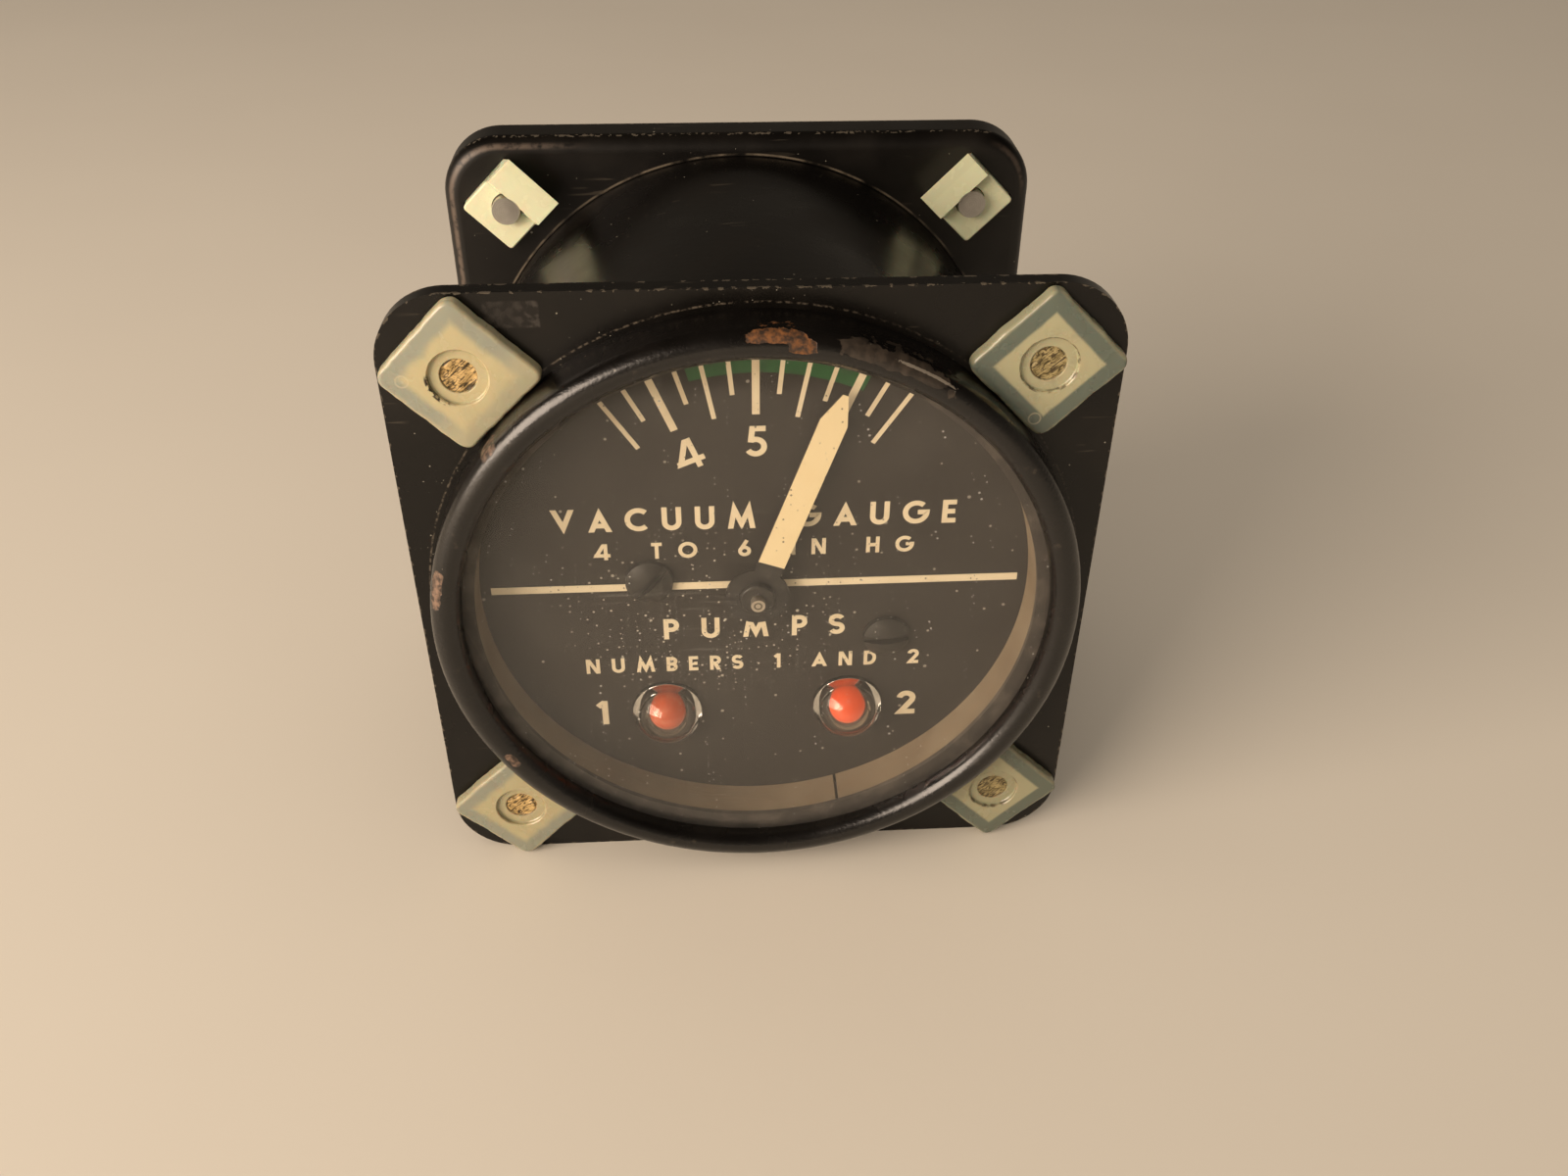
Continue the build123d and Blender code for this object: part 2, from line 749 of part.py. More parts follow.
with BuildPart() as sector_gear:
    with BuildSketch(facing(sector_back, 0, sector_pivot_height)):
        with BuildLine():
            rim_outer = CenterArc((0, 0), sector_root, 270 - rim_sweep / 2, rim_sweep)
            rim_inner = CenterArc((0, 0), sector_root - sector_rim, 270 - rim_sweep / 2, rim_sweep)
            Line(rim_outer @ 0, rim_inner @ 0)
            Line(rim_outer @ 1, rim_inner @ 1)
        make_face()
        spoke_length = sector_root - sector_rim / 2
        spoke_turn = rim_sweep / 2 - sector_rim / sector_root * 90 / pi
        for turn in (270 - spoke_turn, 270 + spoke_turn):
            middle = (spoke_length / 2 * cos(radians(turn)), spoke_length / 2 * sin(radians(turn)))
            with Locations(middle):
                Rectangle(spoke_length, sector_spoke_width, rotation=turn)
        first_tooth = 270 - (sector_teeth_cut - 1) / 2 * 360 / sector_teeth
        last_turn = (sector_teeth_cut - 1) * 360 / sector_teeth
        with PolarLocations(0, sector_teeth_cut, first_tooth, last_turn, endpoint=True):
            tooth(sector_teeth)
        with Locations((tail_reach / 2, 0)):
            Rectangle(tail_reach, 2 * tail_half_width)
        Circle(sector_hub_radius)
        Circle(arbor_radius, mode=Mode.SUBTRACT)
    extrude(amount=sector_thickness)
finish(sector_gear, "sector_gear")

with BuildPart() as sector_arbor:
    with BuildSketch(facing(back_plate_back, 0, sector_pivot_height)):
        Circle(arbor_radius)
    extrude(amount=back_plate_back - front_plate_face)
finish(sector_arbor, "sector_arbor")

# Hairspring: a spiral of half circles from the collet to the stud
collet_face = front_plate_back + collet_setback
spring_face = collet_face + (collet_width - hairspring_width) / 2

turned(
    "hairspring_collet",
    [
        (staff_radius, collet_face),
        (collet_radius, collet_face),
        (collet_radius, collet_face + collet_width),
        (staff_radius, collet_face + collet_width),
    ],
)

with BuildPart() as hairspring:
    with BuildSketch(facing(spring_face + hairspring_width)):
        with BuildLine() as spiral:
            start = collet_radius + hairspring_strip / 2
            for half_turn in range(hairspring_half_turns):
                sign = 1 if half_turn % 2 == 0 else -1
                near = sign * (start + half_turn * hairspring_pitch / 2)
                far = -sign * (start + (half_turn + 1) * hairspring_pitch / 2)
                crown = sign * (abs(near) + abs(far)) / 2
                ThreePointArc((near, 0), ((near + far) / 2, crown), (far, 0))
        trace(line_width=hairspring_strip)
    extrude(amount=hairspring_width)
finish(hairspring, "hairspring")

hairspring_reach = start + hairspring_half_turns * hairspring_pitch / 2
stud_x = hairspring_reach + hairspring_strip / 2 + stud_radius

with BuildPart() as hairspring_stud:
    with BuildSketch(facing(back_plate_face, stud_x)):
        Circle(stud_radius)
    extrude(amount=back_plate_face - spring_face)
finish(hairspring_stud, "hairspring_stud")

# Movement plates: one outline, pierced for what each carries
barrel_points = [(-indicator_reach, indicator_height), (indicator_reach, indicator_height)]


def plate_outline():
    """Outline of both plates in the sketch that is open: a skin stretched round their holes."""
    with Locations(*barrel_points):
        Circle(barrel_radius + plate_edge)
    with Locations(*pillar_points):
        Circle(pillar_radius + plate_edge)
    make_hull()
    with Locations((0, sector_pivot_height)):
        Circle(arbor_radius + pivot_clearance, mode=Mode.SUBTRACT)


with BuildPart() as front_plate:
    with BuildSketch(facing(front_plate_back)):
        plate_outline()
        Circle(staff_radius + pivot_clearance, mode=Mode.SUBTRACT)
        with Locations(*barrel_points):
            Circle(barrel_radius + seat_clearance, mode=Mode.SUBTRACT)
        with Locations(*dial_screw_points):
            Circle(dial_post_spigot + seat_clearance, mode=Mode.SUBTRACT)
        with Locations(*pillar_points):
            Circle(plate_screw_radius + seat_clearance, mode=Mode.SUBTRACT)
    extrude(amount=plate_thickness)
finish(front_plate, "front_plate")

with BuildPart() as back_plate:
    with BuildSketch(facing(back_plate_back)):
        plate_outline()
        Circle(rear_pivot_radius + pivot_clearance, mode=Mode.SUBTRACT)
        with Locations(*barrel_points):
            Circle(tube_radius + seat_clearance, mode=Mode.SUBTRACT)
        with Locations(*pillar_points):
            Circle(pillar_spigot_radius + seat_clearance, mode=Mode.SUBTRACT)
        with Locations((lever_offset, shaft_height)):
            Rectangle(2 * window_half_width, 2 * window_half_height, mode=Mode.SUBTRACT)
    extrude(amount=plate_thickness)
finish(back_plate, "back_plate")

# Pillars between the plates, tapped for the plate screws
with BuildPart() as plate_pillars:
    for x, z in pillar_points:
        with BuildSketch(facing(back_plate_face, x, z)):
            Circle(pillar_radius)
        extrude(amount=plate_gap)
        with BuildSketch(facing(front_plate_back, x, z)):
            Circle(plate_screw_radius + seat_clearance)
        extrude(amount=-(plate_screw_length - plate_thickness + seat_clearance), mode=Mode.SUBTRACT)
finish(plate_pillars, "plate_pillars")

with BuildPart() as plate_screws:
    for x, z in pillar_points:
        with BuildSketch(facing(front_plate_face, x, z)):
            Circle(plate_screw_head)
        extrude(amount=plate_screw_height)
        with BuildSketch(facing(front_plate_face, x, z)):
            Circle(plate_screw_radius)
        extrude(amount=-plate_screw_length)
        with BuildSketch(facing(front_plate_face - plate_screw_height, x, z)):
            Rectangle(2 * plate_screw_head, slot_width)
        extrude(amount=-plate_screw_height / 2, mode=Mode.SUBTRACT)
finish(plate_screws, "plate_screws")

# Long pillars that carry the movement on the rear cover
with BuildPart() as support_pillars:
    for x, z in pillar_points:
        with BuildSketch(facing(cover_face, x, z)):
            RegularPolygon(pillar_radius, 6, major_radius=False)
        extrude(amount=cover_face - back_plate_back)
        with BuildSketch(facing(cover_face + cover_spigot_depth, x, z)):
            Circle(pillar_spigot_radius)
        extrude(amount=cover_spigot_depth)
        with BuildSketch(facing(back_plate_back, x, z)):
            Circle(pillar_spigot_radius)
        extrude(amount=plate_thickness)
finish(support_pillars, "support_pillars")

# Bracket that carries the rocking shaft behind the back plate
with BuildPart() as shaft_bracket:
    bracket_width = bracket_right - bracket_left
    with BuildSketch(facing(back_plate_back + bracket_thickness)):
        with Locations(((bracket_right + bracket_left) / 2, shaft_height)):
            Rectangle(bracket_width, 2 * bracket_half_height)
        with Locations((lever_offset, shaft_height)):
            Rectangle(2 * window_half_width, 2 * window_half_height, mode=Mode.SUBTRACT)
    extrude(amount=bracket_thickness)
    for ear_x in (bracket_left, bracket_right - bracket_ear):
        with BuildSketch(sideways(ear_x, shaft_depth, shaft_height)):
            Circle(2 * shaft_radius)
            with Locations((bracket_thickness / 2 - shaft_standoff, 0)):
                Rectangle(bracket_thickness, 2 * bracket_half_height - 2)
            make_hull()
        extrude(amount=bracket_ear)
        with BuildSketch(sideways(ear_x, shaft_depth, shaft_height)):
            Circle(shaft_radius + pivot_clearance)
        extrude(amount=bracket_ear, mode=Mode.SUBTRACT)
finish(shaft_bracket, "shaft_bracket")

# Rocking shaft with the arm that the link pushes and the ball-ended lever that lifts the sector's tail
link_left = -link_thickness / 2
arm_left = link_left - link_side_gap - link_arm_thickness

with BuildPart() as rocking_shaft:
    with BuildSketch(sideways(bracket_left - seat_clearance, shaft_depth, shaft_height)):
        Circle(shaft_radius)
    extrude(amount=bracket_width + 2 * seat_clearance)
    with BuildSketch(sideways(arm_left, shaft_depth, shaft_height)):
        Circle(2 * shaft_radius)
        with Locations((0, -link_arm_length)):
            Circle(link_arm_end_radius)
        make_hull()
    extrude(amount=link_arm_thickness)
    with BuildSketch(sideways(arm_left, shaft_depth, capsule_height)):
        Circle(link_pin_radius)
    extrude(amount=link_arm_thickness + 2 * link_side_gap + link_thickness)
    with BuildSketch(sideways(lever_offset - lever_hub_width / 2, shaft_depth, shaft_height)):
        Circle(lever_hub_radius)
    extrude(amount=lever_hub_width)
    with BuildSketch(facing(shaft_depth, lever_offset, shaft_height)):
        Circle(lever_wire_radius)
    extrude(amount=lever_length)
    with Locations((lever_offset, sector_middle, shaft_height)):
        Sphere(ball_radius)
finish(rocking_shaft, "rocking_shaft")

# Link from the rocking shaft's arm to the capsule's post
with BuildPart() as link:
    with BuildSketch(sideways(link_left, shaft_depth, capsule_height)):
        Circle(link_end_radius)
        with Locations((link_length, 0)):
            Circle(link_end_radius)
        make_hull()
        Circle(link_pin_radius + link_pin_clearance, mode=Mode.SUBTRACT)
        with Locations((link_length, 0)):
            Circle(link_pin_radius, mode=Mode.SUBTRACT)
    extrude(amount=link_thickness)
finish(link, "link")

# Slotted post on the capsule's centre, and the pin through it and the link
with BuildPart() as capsule_post:
    with BuildSketch(facing(capsule_front, 0, capsule_height)):
        Circle(post_radius)
    extrude(amount=post_length)
    with BuildSketch(facing(capsule_front - post_length, 0, capsule_height)):
        Rectangle(link_thickness + 2 * post_slot_clearance, 2 * post_radius)
    extrude(amount=-(post_length / 2 + link_end_radius + post_slot_clearance), mode=Mode.SUBTRACT)
    with BuildSketch(sideways(-post_radius, capsule_pin_depth, capsule_height)):
        Circle(link_pin_radius)
    extrude(amount=2 * post_radius, mode=Mode.SUBTRACT)
finish(capsule_post, "capsule_post")

with BuildPart() as link_pin:
    with BuildSketch(sideways(-post_radius, capsule_pin_depth, capsule_height)):
        Circle(link_pin_radius)
    extrude(amount=2 * post_radius)
finish(link_pin, "link_pin")


# Capsule: two corrugated discs joined at the rim
def corrugated_disc(name, centre_depth, rim_depth):
    """A thin disc whose waves run out from its flat centre to its rim."""
    outward = 1 if rim_depth > centre_depth else -1
    wave_width = (capsule_radius - capsule_rim - capsule_centre_radius) / capsule_waves
    crest, valley = centre_depth, centre_depth + outward * capsule_wave
    ridge = [(0, crest), (capsule_centre_radius, crest)]
    for wave in range(capsule_waves):
        start_radius = capsule_centre_radius + wave * wave_width
        ridge.append((start_radius + wave_width / 4, valley))
        ridge.append((start_radius + wave_width / 2, valley))
        ridge.append((start_radius + wave_width * 3 / 4, crest))
        ridge.append((start_radius + wave_width, crest))
    ridge[-1] = (capsule_radius - capsule_rim, rim_depth - outward * capsule_wall)
    ridge.append((capsule_radius, rim_depth - outward * capsule_wall))
    back = [(radius, depth + outward * capsule_wall) for radius, depth in reversed(ridge)]
    turned(name, ridge + back, 0.0, capsule_height)


capsule_middle = (capsule_front + capsule_back) / 2
corrugated_disc("capsule_front_disc", capsule_front, capsule_middle)
corrugated_disc("capsule_rear_disc", capsule_back, capsule_middle)

turned(
    "capsule_stem",
    [
        (stem_bore_radius, capsule_back),
        (stem_shoulder_radius, capsule_back),
        (stem_shoulder_radius, capsule_back + stem_shoulder_length),
        (stem_radius, capsule_back + stem_shoulder_length),
        (stem_radius, port_inner_end + port_socket_depth - seat_clearance),
        (stem_bore_radius, port_inner_end + port_socket_depth - seat_clearance),
    ],
    0.0,
    capsule_height,
)


# Pump indicators: a red plunger that a spring holds out in a clear lens until its pump works
def indicator(side, x):
    """All the pieces of one indicator, on its own axis."""
    z = indicator_height
    lens_base = dial_face - lens_flange_thickness
    lens_inner = lens_radius - lens_wall
    with BuildPart() as lens:
        with BuildSketch(half_section(x, z)):
            with BuildLine():
                ThreePointArc(
                    (0, lens_base - lens_radius),
                    (lens_radius * sin(pi / 4), lens_base - lens_radius * cos(pi / 4)),
                    (lens_radius, lens_base),
                )
                Polyline(
                    (lens_radius, lens_base),
                    (lens_flange_radius, lens_base),
                    (lens_flange_radius, dial_face),
                    (lens_radius, dial_face),
                    (lens_radius, dial_back),
                    (lens_inner, dial_back),
                    (lens_inner, lens_base),
                )
                ThreePointArc(
                    (lens_inner, lens_base),
                    (lens_inner * sin(pi / 4), lens_base - lens_inner * cos(pi / 4)),
                    (0, lens_base - lens_inner),
                )
                Line((0, lens_base - lens_inner), (0, lens_base - lens_radius))
            make_face()
        revolve(axis=lathe(x, z))
    finish(lens, f"{side}_indicator_lens")

    piston_face = barrel_front + retainer_thickness + seat_clearance
    nose_centre = plunger_front + plunger_radius
    with BuildPart() as plunger:
        with BuildSketch(half_section(x, z)):
            with BuildLine():
                ThreePointArc(
                    (0, plunger_front),
                    (plunger_radius * sin(pi / 4), nose_centre - plunger_radius * cos(pi / 4)),
                    (plunger_radius, nose_centre),
                )
                Polyline(
                    (plunger_radius, nose_centre),
                    (plunger_radius, piston_face),
                    (piston_radius, piston_face),
                    (piston_radius, piston_face + piston_length),
                    (0, piston_face + piston_length),
                    (0, plunger_front),
                )
            make_face()
        revolve(axis=lathe(x, z))
    finish(plunger, f"{side}_indicator_plunger")

    bore_radius = piston_radius + piston_clearance
    turned(
        f"{side}_indicator_barrel",
        [
            (bore_radius, barrel_front),
            (barrel_radius, barrel_front),
            (barrel_radius, front_plate_face - barrel_collar_length),
            (barrel_collar_radius, front_plate_face - barrel_collar_length),
            (barrel_collar_radius, front_plate_face),
            (barrel_radius, front_plate_face),
            (barrel_radius, barrel_end),
            (tube_radius + seat_clearance, barrel_end),
            (tube_radius + seat_clearance, barrel_back),
            (bore_radius, barrel_back),
        ],
        x,
        z,
    )
    turned(
        f"{side}_indicator_retainer",
        [
            (plunger_radius + piston_clearance, barrel_front),
            (bore_radius - seat_clearance / 5, barrel_front),
            (bore_radius - seat_clearance / 5, barrel_front + retainer_thickness),
            (plunger_radius + piston_clearance, barrel_front + retainer_thickness),
        ],
        x,
        z,
    )
    tube_end = port_inner_end + port_socket_depth - seat_clearance
    turned(
        f"{side}_pump_tube",
        [
            (tube_bore_radius, barrel_end - tube_insertion),
            (tube_radius, barrel_end - tube_insertion),
            (tube_radius, tube_end),
            (tube_bore_radius, tube_end),
        ],
        x,
        z,
    )

    coil_start = piston_face + piston_length + spring_wire_radius + seat_clearance
    coil_height = spring_length - 2 * spring_wire_radius - 2 * seat_clearance
    with BuildPart() as coil:
        with BuildLine():
            pitch = coil_height / spring_turns
            helix = Helix(pitch, coil_height, spring_radius, center=(x, coil_start, z), direction=(0, 1, 0))
        with BuildSketch(Plane(origin=helix @ 0, z_dir=helix % 0)):
            RegularPolygon(spring_wire_radius, 6)
        sweep(path=helix, is_frenet=True)
    finish(coil, f"{side}_indicator_spring")


indicator("left", -indicator_reach)
indicator("right", indicator_reach)
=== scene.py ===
"""Aircraft vacuum gauge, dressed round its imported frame.

Sizes are millimetres unless a name says otherwise. X runs to the right, Y back into the case and Z up.
"""
import logging
from dataclasses import dataclass, field
from enum import Enum
from typing import Optional, Sequence, Union

import bmesh
import bpy
import numpy as np
from mathutils import Matrix, Vector


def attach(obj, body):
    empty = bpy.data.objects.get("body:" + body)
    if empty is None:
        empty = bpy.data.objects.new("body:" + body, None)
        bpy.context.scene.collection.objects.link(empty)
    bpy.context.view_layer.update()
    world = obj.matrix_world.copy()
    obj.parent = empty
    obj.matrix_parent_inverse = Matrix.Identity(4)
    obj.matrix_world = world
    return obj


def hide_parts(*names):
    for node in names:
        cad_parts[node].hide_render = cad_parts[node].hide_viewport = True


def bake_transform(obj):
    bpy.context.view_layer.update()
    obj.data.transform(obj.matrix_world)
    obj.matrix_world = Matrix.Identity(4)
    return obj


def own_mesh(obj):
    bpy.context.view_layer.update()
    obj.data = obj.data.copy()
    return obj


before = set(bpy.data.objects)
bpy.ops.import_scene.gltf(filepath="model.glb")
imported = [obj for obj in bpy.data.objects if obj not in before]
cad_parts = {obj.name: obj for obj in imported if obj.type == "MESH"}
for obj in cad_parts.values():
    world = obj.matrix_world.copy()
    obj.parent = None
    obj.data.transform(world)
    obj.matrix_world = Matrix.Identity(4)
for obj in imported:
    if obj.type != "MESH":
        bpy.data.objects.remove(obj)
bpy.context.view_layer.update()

LOG = logging.getLogger("gauge")
METRE = 0.001

Colour = tuple[float, float, float]
Number = Union["Wire", float]

# Sizes that more than one class needs
CORNER_REACH = 23.573
FLANGE_HALF = 30.162
PAN_HALF = 30.002
CORNER = 6.0
DIAL_FACE = 2.0
INDICATOR_X = 8.75
INDICATOR_Z = -14.1


class Side(Enum):
    """Which way a captive nut's pad faces."""

    FRONT = -1
    BACK = 1


# Shader tools
class Wire:
    """One number that varies over a surface. Python's operators add Math nodes to it."""

    def __init__(self, board: "Board", socket: bpy.types.NodeSocket) -> None:
        """Holds an output socket and the board that it is on."""
        self.board = board
        self.socket = socket

    def __add__(self, other: Number) -> "Wire":
        """Sum."""
        return self.board.math("ADD", self, other)

    def __radd__(self, other: Number) -> "Wire":
        """Sum with a plain number first."""
        return self.board.math("ADD", other, self)

    def __sub__(self, other: Number) -> "Wire":
        """Difference."""
        return self.board.math("SUBTRACT", self, other)

    def __rsub__(self, other: Number) -> "Wire":
        """Difference from a plain number."""
        return self.board.math("SUBTRACT", other, self)

    def __mul__(self, other: Number) -> "Wire":
        """Product."""
        return self.board.math("MULTIPLY", self, other)

    def __rmul__(self, other: Number) -> "Wire":
        """Product with a plain number first."""
        return self.board.math("MULTIPLY", other, self)

    def __truediv__(self, other: Number) -> "Wire":
        """Quotient."""
        return self.board.math("DIVIDE", self, other)

    def __pow__(self, other: Number) -> "Wire":
        """Power."""
        return self.board.math("POWER", self, other)

    def __abs__(self) -> "Wire":
        """Size without its sign."""
        return self.board.math("ABSOLUTE", self)

    def __gt__(self, other: Number) -> "Wire":
        """1 where it is more, 0 elsewhere."""
        return self.board.math("GREATER_THAN", self, other)

    def larger(self, other: Number) -> "Wire":
        """The larger of the two."""
        return self.board.math("MAXIMUM", self, other)

    def smaller(self, other: Number) -> "Wire":
        """The smaller of the two."""
        return self.board.math("MINIMUM", self, other)

    def root(self) -> "Wire":
        """Square root."""
        return self.board.math("SQRT", self)

    def held(self) -> "Wire":
        """The value kept between 0 and 1."""
        return self.board.between(self, 0.0, 1.0, plain=True)


def add_node(
    tree: bpy.types.NodeTree,
    kind: str,
    settings: Optional[dict] = None,
    sockets: Optional[dict] = None,
) -> bpy.types.Node:
    """Adds a node, its settings first and then its sockets.

    Args:
        tree: the material's or the world's nodes.
        kind: the node's type.
        settings: attributes such as a Math node's operation.
        sockets: values, wires or output sockets for its inputs.

    Returns:
        The new node.
    """
    made = tree.nodes.new(kind)
    for key, value in (settings or {}).items():
        setattr(made, key, value)
    for key, value in (sockets or {}).items():
        socket = made.inputs[key]
        source = value.socket if isinstance(value, Wire) else value
        if isinstance(source, bpy.types.NodeSocket):
            tree.links.new(source, socket)
        elif socket.type == "RGBA":
            socket.default_value = (*source[:3], 1.0)
        else:
            socket.default_value = source
    return made


class Board:
    """One material's nodes, with the surface's own place in millimetres."""

    def __init__(self, name: str) -> None:
        """Starts an empty material.

        Args:
            name: the material's name.
        """
        self.material = bpy.data.materials.new(name)
        self.material.use_nodes = True
        self.tree = self.material.node_tree
        self.tree.nodes.clear()
        coordinates = self.node("ShaderNodeTexCoord").outputs["Object"]
        scaled = self.node(
            "ShaderNodeVectorMath", {"operation": "SCALE"}, {0: coordinates, "Scale": 1.0 / METRE}
        )
        self.place = scaled.outputs[0]
        parts = self.node("ShaderNodeSeparateXYZ", {}, {0: self.place})
        self.x = Wire(self, parts.outputs[0])
        self.y = Wire(self, parts.outputs[1])
        self.z = Wire(self, parts.outputs[2])

    def node(
        self, kind: str, settings: Optional[dict] = None, sockets: Optional[dict] = None
    ) -> bpy.types.Node:
        """Adds a node to this material, as add_node does."""
        return add_node(self.tree, kind, settings, sockets)

    def math(self, operation: str, *values: Number) -> Wire:
        """Adds a Math node.

        Args:
            operation: its operation.
            values: its inputs, wires or plain numbers.

        Returns:
            Its result.
        """
        made = self.node("ShaderNodeMath", {"operation": operation}, dict(enumerate(values)))
        return Wire(self, made.outputs[0])

    def between(self, value: Wire, low: float, high: float, plain: bool = False) -> Wire:
        """A step from 0 at low to 1 at high, in either order.

        Args:
            value: what is measured.
            low: where the step is 0.
            high: where it is 1.
            plain: makes it straight instead of smooth.

        Returns:
            A wire from 0 to 1.
        """
        kind = "LINEAR" if plain else "SMOOTHSTEP"
        sockets = {"Value": value, "From Min": low, "From Max": high}
        made = self.node("ShaderNodeMapRange", {"interpolation_type": kind}, sockets)
        return Wire(self, made.outputs[0])

    def moved(self, stretch: Sequence[float], shift: float) -> bpy.types.NodeSocket:
        """The place, stretched along the axes and shifted, as a vector for a texture."""
        made = self.node(
            "ShaderNodeVectorMath",
            {"operation": "MULTIPLY_ADD"},
            {0: self.place, 1: tuple(stretch), 2: (shift, shift * 1.7, shift * 0.6)},
        )
        return made.outputs[0]

    def noise(
        self,
        size: float,
        detail: float = 2.0,
        shift: float = 0.0,
        stretch: Sequence[float] = (1.0, 1.0, 1.0),
    ) -> Wire:
        """Soft noise about 0.5.

        Args:
            size: how large a lump of it is, in millimetres.
            detail: how many finer layers it has.
            shift: moves the pattern, so that two finishes differ.
            stretch: squeezes it along each axis.

        Returns:
            A wire from 0 to 1.
        """
        made = self.node(
            "ShaderNodeTexNoise",
            {},
            {"Vector": self.moved(stretch, shift), "Scale": 1.0 / size, "Detail": detail},
        )
        return Wire(self, made.outputs[0])

    def threads(self, length: float, width: float, turn: float, shift: float = 0.0) -> Wire:
        """Noise drawn out into fibres that run at an angle across the front.

        Args:
            length: a fibre's length.
            width: a fibre's width.
            turn: its turn in degrees from the horizontal.
            shift: moves the pattern.

        Returns:
            A wire from 0 to 1.
        """
        sine, cosine = float(np.sin(np.radians(turn))), float(np.cos(np.radians(turn)))
        along = (self.x * cosine + self.z * sine) / length + shift
        across = (self.z * cosine - self.x * sine) / width
        sockets = {0: along, 1: self.y / width, 2: across}
        place = self.node("ShaderNodeCombineXYZ", {}, sockets).outputs[0]
        made = self.node("ShaderNodeTexNoise", {}, {"Vector": place, "Scale": 1.0, "Detail": 3.0})
        return Wire(self, made.outputs[0])

    def specks(
        self, cell: float, share: float, radius: float, shift: float = 0.0, flat: bool = False
    ) -> Wire:
        """Scattered round specks of several sizes.

        Args:
            cell: the grid's spacing in millimetres.
            share: the share of its cells that have a speck.
            radius: the largest speck's radius in millimetres.
            shift: moves the pattern.
            flat: scatters them over the front only, for a flat face.

        Returns:
            1 on a speck and 0 elsewhere.
        """
        place = self.moved((1, 1, 1), shift)
        if flat:
            sockets = {0: self.x + shift, 1: self.z + shift}
            place = self.node("ShaderNodeCombineXYZ", {}, sockets).outputs[0]
        made = self.node(
            "ShaderNodeTexVoronoi",
            {"voronoi_dimensions": "2D" if flat else "3D"},
            {"Vector": place, "Scale": 1.0 / cell},
        )
        draw = self.node("ShaderNodeSeparateColor", {}, {0: made.outputs["Color"]})
        present = Wire(self, draw.outputs[0]) > 1.0 - share
        reach = Wire(self, draw.outputs[1]) * (0.75 * radius / cell) + 0.25 * radius / cell
        away = Wire(self, made.outputs["Distance"]) - reach
        return self.between(away, 0.12 * radius / cell, -0.12 * radius / cell) * present

    def scratches(self, length: float, width: float, share: float, shift: float = 0.0) -> Wire:
        """Short thin streaks, mostly across the front.

        Args:
            length: how long they are.
            width: how far apart their bands lie.
            share: how much of the surface has them.
            shift: moves the pattern.

        Returns:
            1 on a streak and 0 elsewhere.
        """
        streak = self.noise(width, 0.0, shift, (width / length, 1.0, 1.0))
        patch = self.noise(length * 1.5, 1.0, shift + 3.0)
        return self.between(streak, 0.72, 0.76) * self.between(patch, 0.62 - share, 0.72 - share)

    def radius(self, x: float = 0.0, z: float = 0.0) -> Wire:
        """The distance from an axis that runs along Y.

        Args:
            x: where the axis is.
            z: its height.

        Returns:
            A wire in millimetres.
        """
        across = self.x - x
        up = self.z - z
        return (across * across + up * up).root()

    def bearing(self) -> Wire:
        """The angle round the dial in degrees, clockwise from the top."""
        return self.math("ARCTAN2", self.x, self.z) * float(np.degrees(1.0))

    def square_edge(self, half: float, corner: float) -> Wire:
        """How far outside a rounded square's outline the surface is, negative inside.

        Args:
            half: half the square's side.
            corner: its corners' radius.

        Returns:
            A wire in millimetres.
        """
        across = abs(self.x) - (half - corner)
        up = abs(self.z) - (half - corner)
        beyond = across.larger(0.0)
        above = up.larger(0.0)
        return (beyond * beyond + above * above).root() + across.larger(up).smaller(0.0) - corner

    def spot(self, x: float, z: float, wide: float, high: float, turn: float = 0.0) -> Wire:
        """A soft oval on the front, 1 at its middle and 0 at its edge.

        Args:
            x: its middle.
            z: its middle's height.
            wide: half its width.
            high: half its height.
            turn: its turn in degrees, clockwise.

        Returns:
            A wire from 0 to 1.
        """
        sine, cosine = np.sin(np.radians(turn)), np.cos(np.radians(turn))
        across = (self.x - x) * float(cosine) - (self.z - z) * float(sine)
        up = (self.x - x) * float(sine) + (self.z - z) * float(cosine)
        far = ((across / wide) ** 2.0 + (up / high) ** 2.0).root()
        return self.between(far, 1.0, 0.0, plain=True)

    def ragged(self, mask: Wire, size: float, amount: float, shift: float = 0.0) -> Wire:
        """Turns a soft mask into a patch with a torn edge."""
        torn = mask + (self.noise(size, 3.0, shift) - 0.5) * amount
        return self.between(torn, 0.42, 0.52)

    def blend(self, mask: Number, base: object, over: object) -> bpy.types.NodeSocket:
        """A colour that goes from base to over as the mask goes from 0 to 1."""
        made = self.node("ShaderNodeMix", {"data_type": "RGBA"}, {0: mask, 6: base, 7: over})
        return made.outputs[2]

    def bump(self, height: Wire, depth: float) -> bpy.types.NodeSocket:
        """A Bump node's normal, for a relief from 0 to 1 that is so many millimetres deep."""
        sockets = {"Height": height, "Distance": depth * METRE, "Strength": 1.0}
        return self.node("ShaderNodeBump", {}, sockets).outputs[0]

    def principled(
        self,
        colour: object,
        roughness: Number,
        normal: Optional[bpy.types.NodeSocket] = None,
        metallic: Number = 0.0,
        **plain: float,
    ) -> bpy.types.NodeSocket:
        """The main shader.

        Args:
            colour: base colour, plain or a socket.
            roughness: plain or a wire.
            normal: a Bump node's normal.
            metallic: plain or a wire.
            plain: constants for other sockets, with spaces in their names written as _.

        Returns:
            Its output.
        """
        sockets = {"Base Color": colour, "Roughness": roughness, "Metallic": metallic}
        if normal is not None:
            sockets["Normal"] = normal
        sockets.update({key.replace("_", " "): value for key, value in plain.items()})
        return self.node("ShaderNodeBsdfPrincipled", {}, sockets).outputs[0]

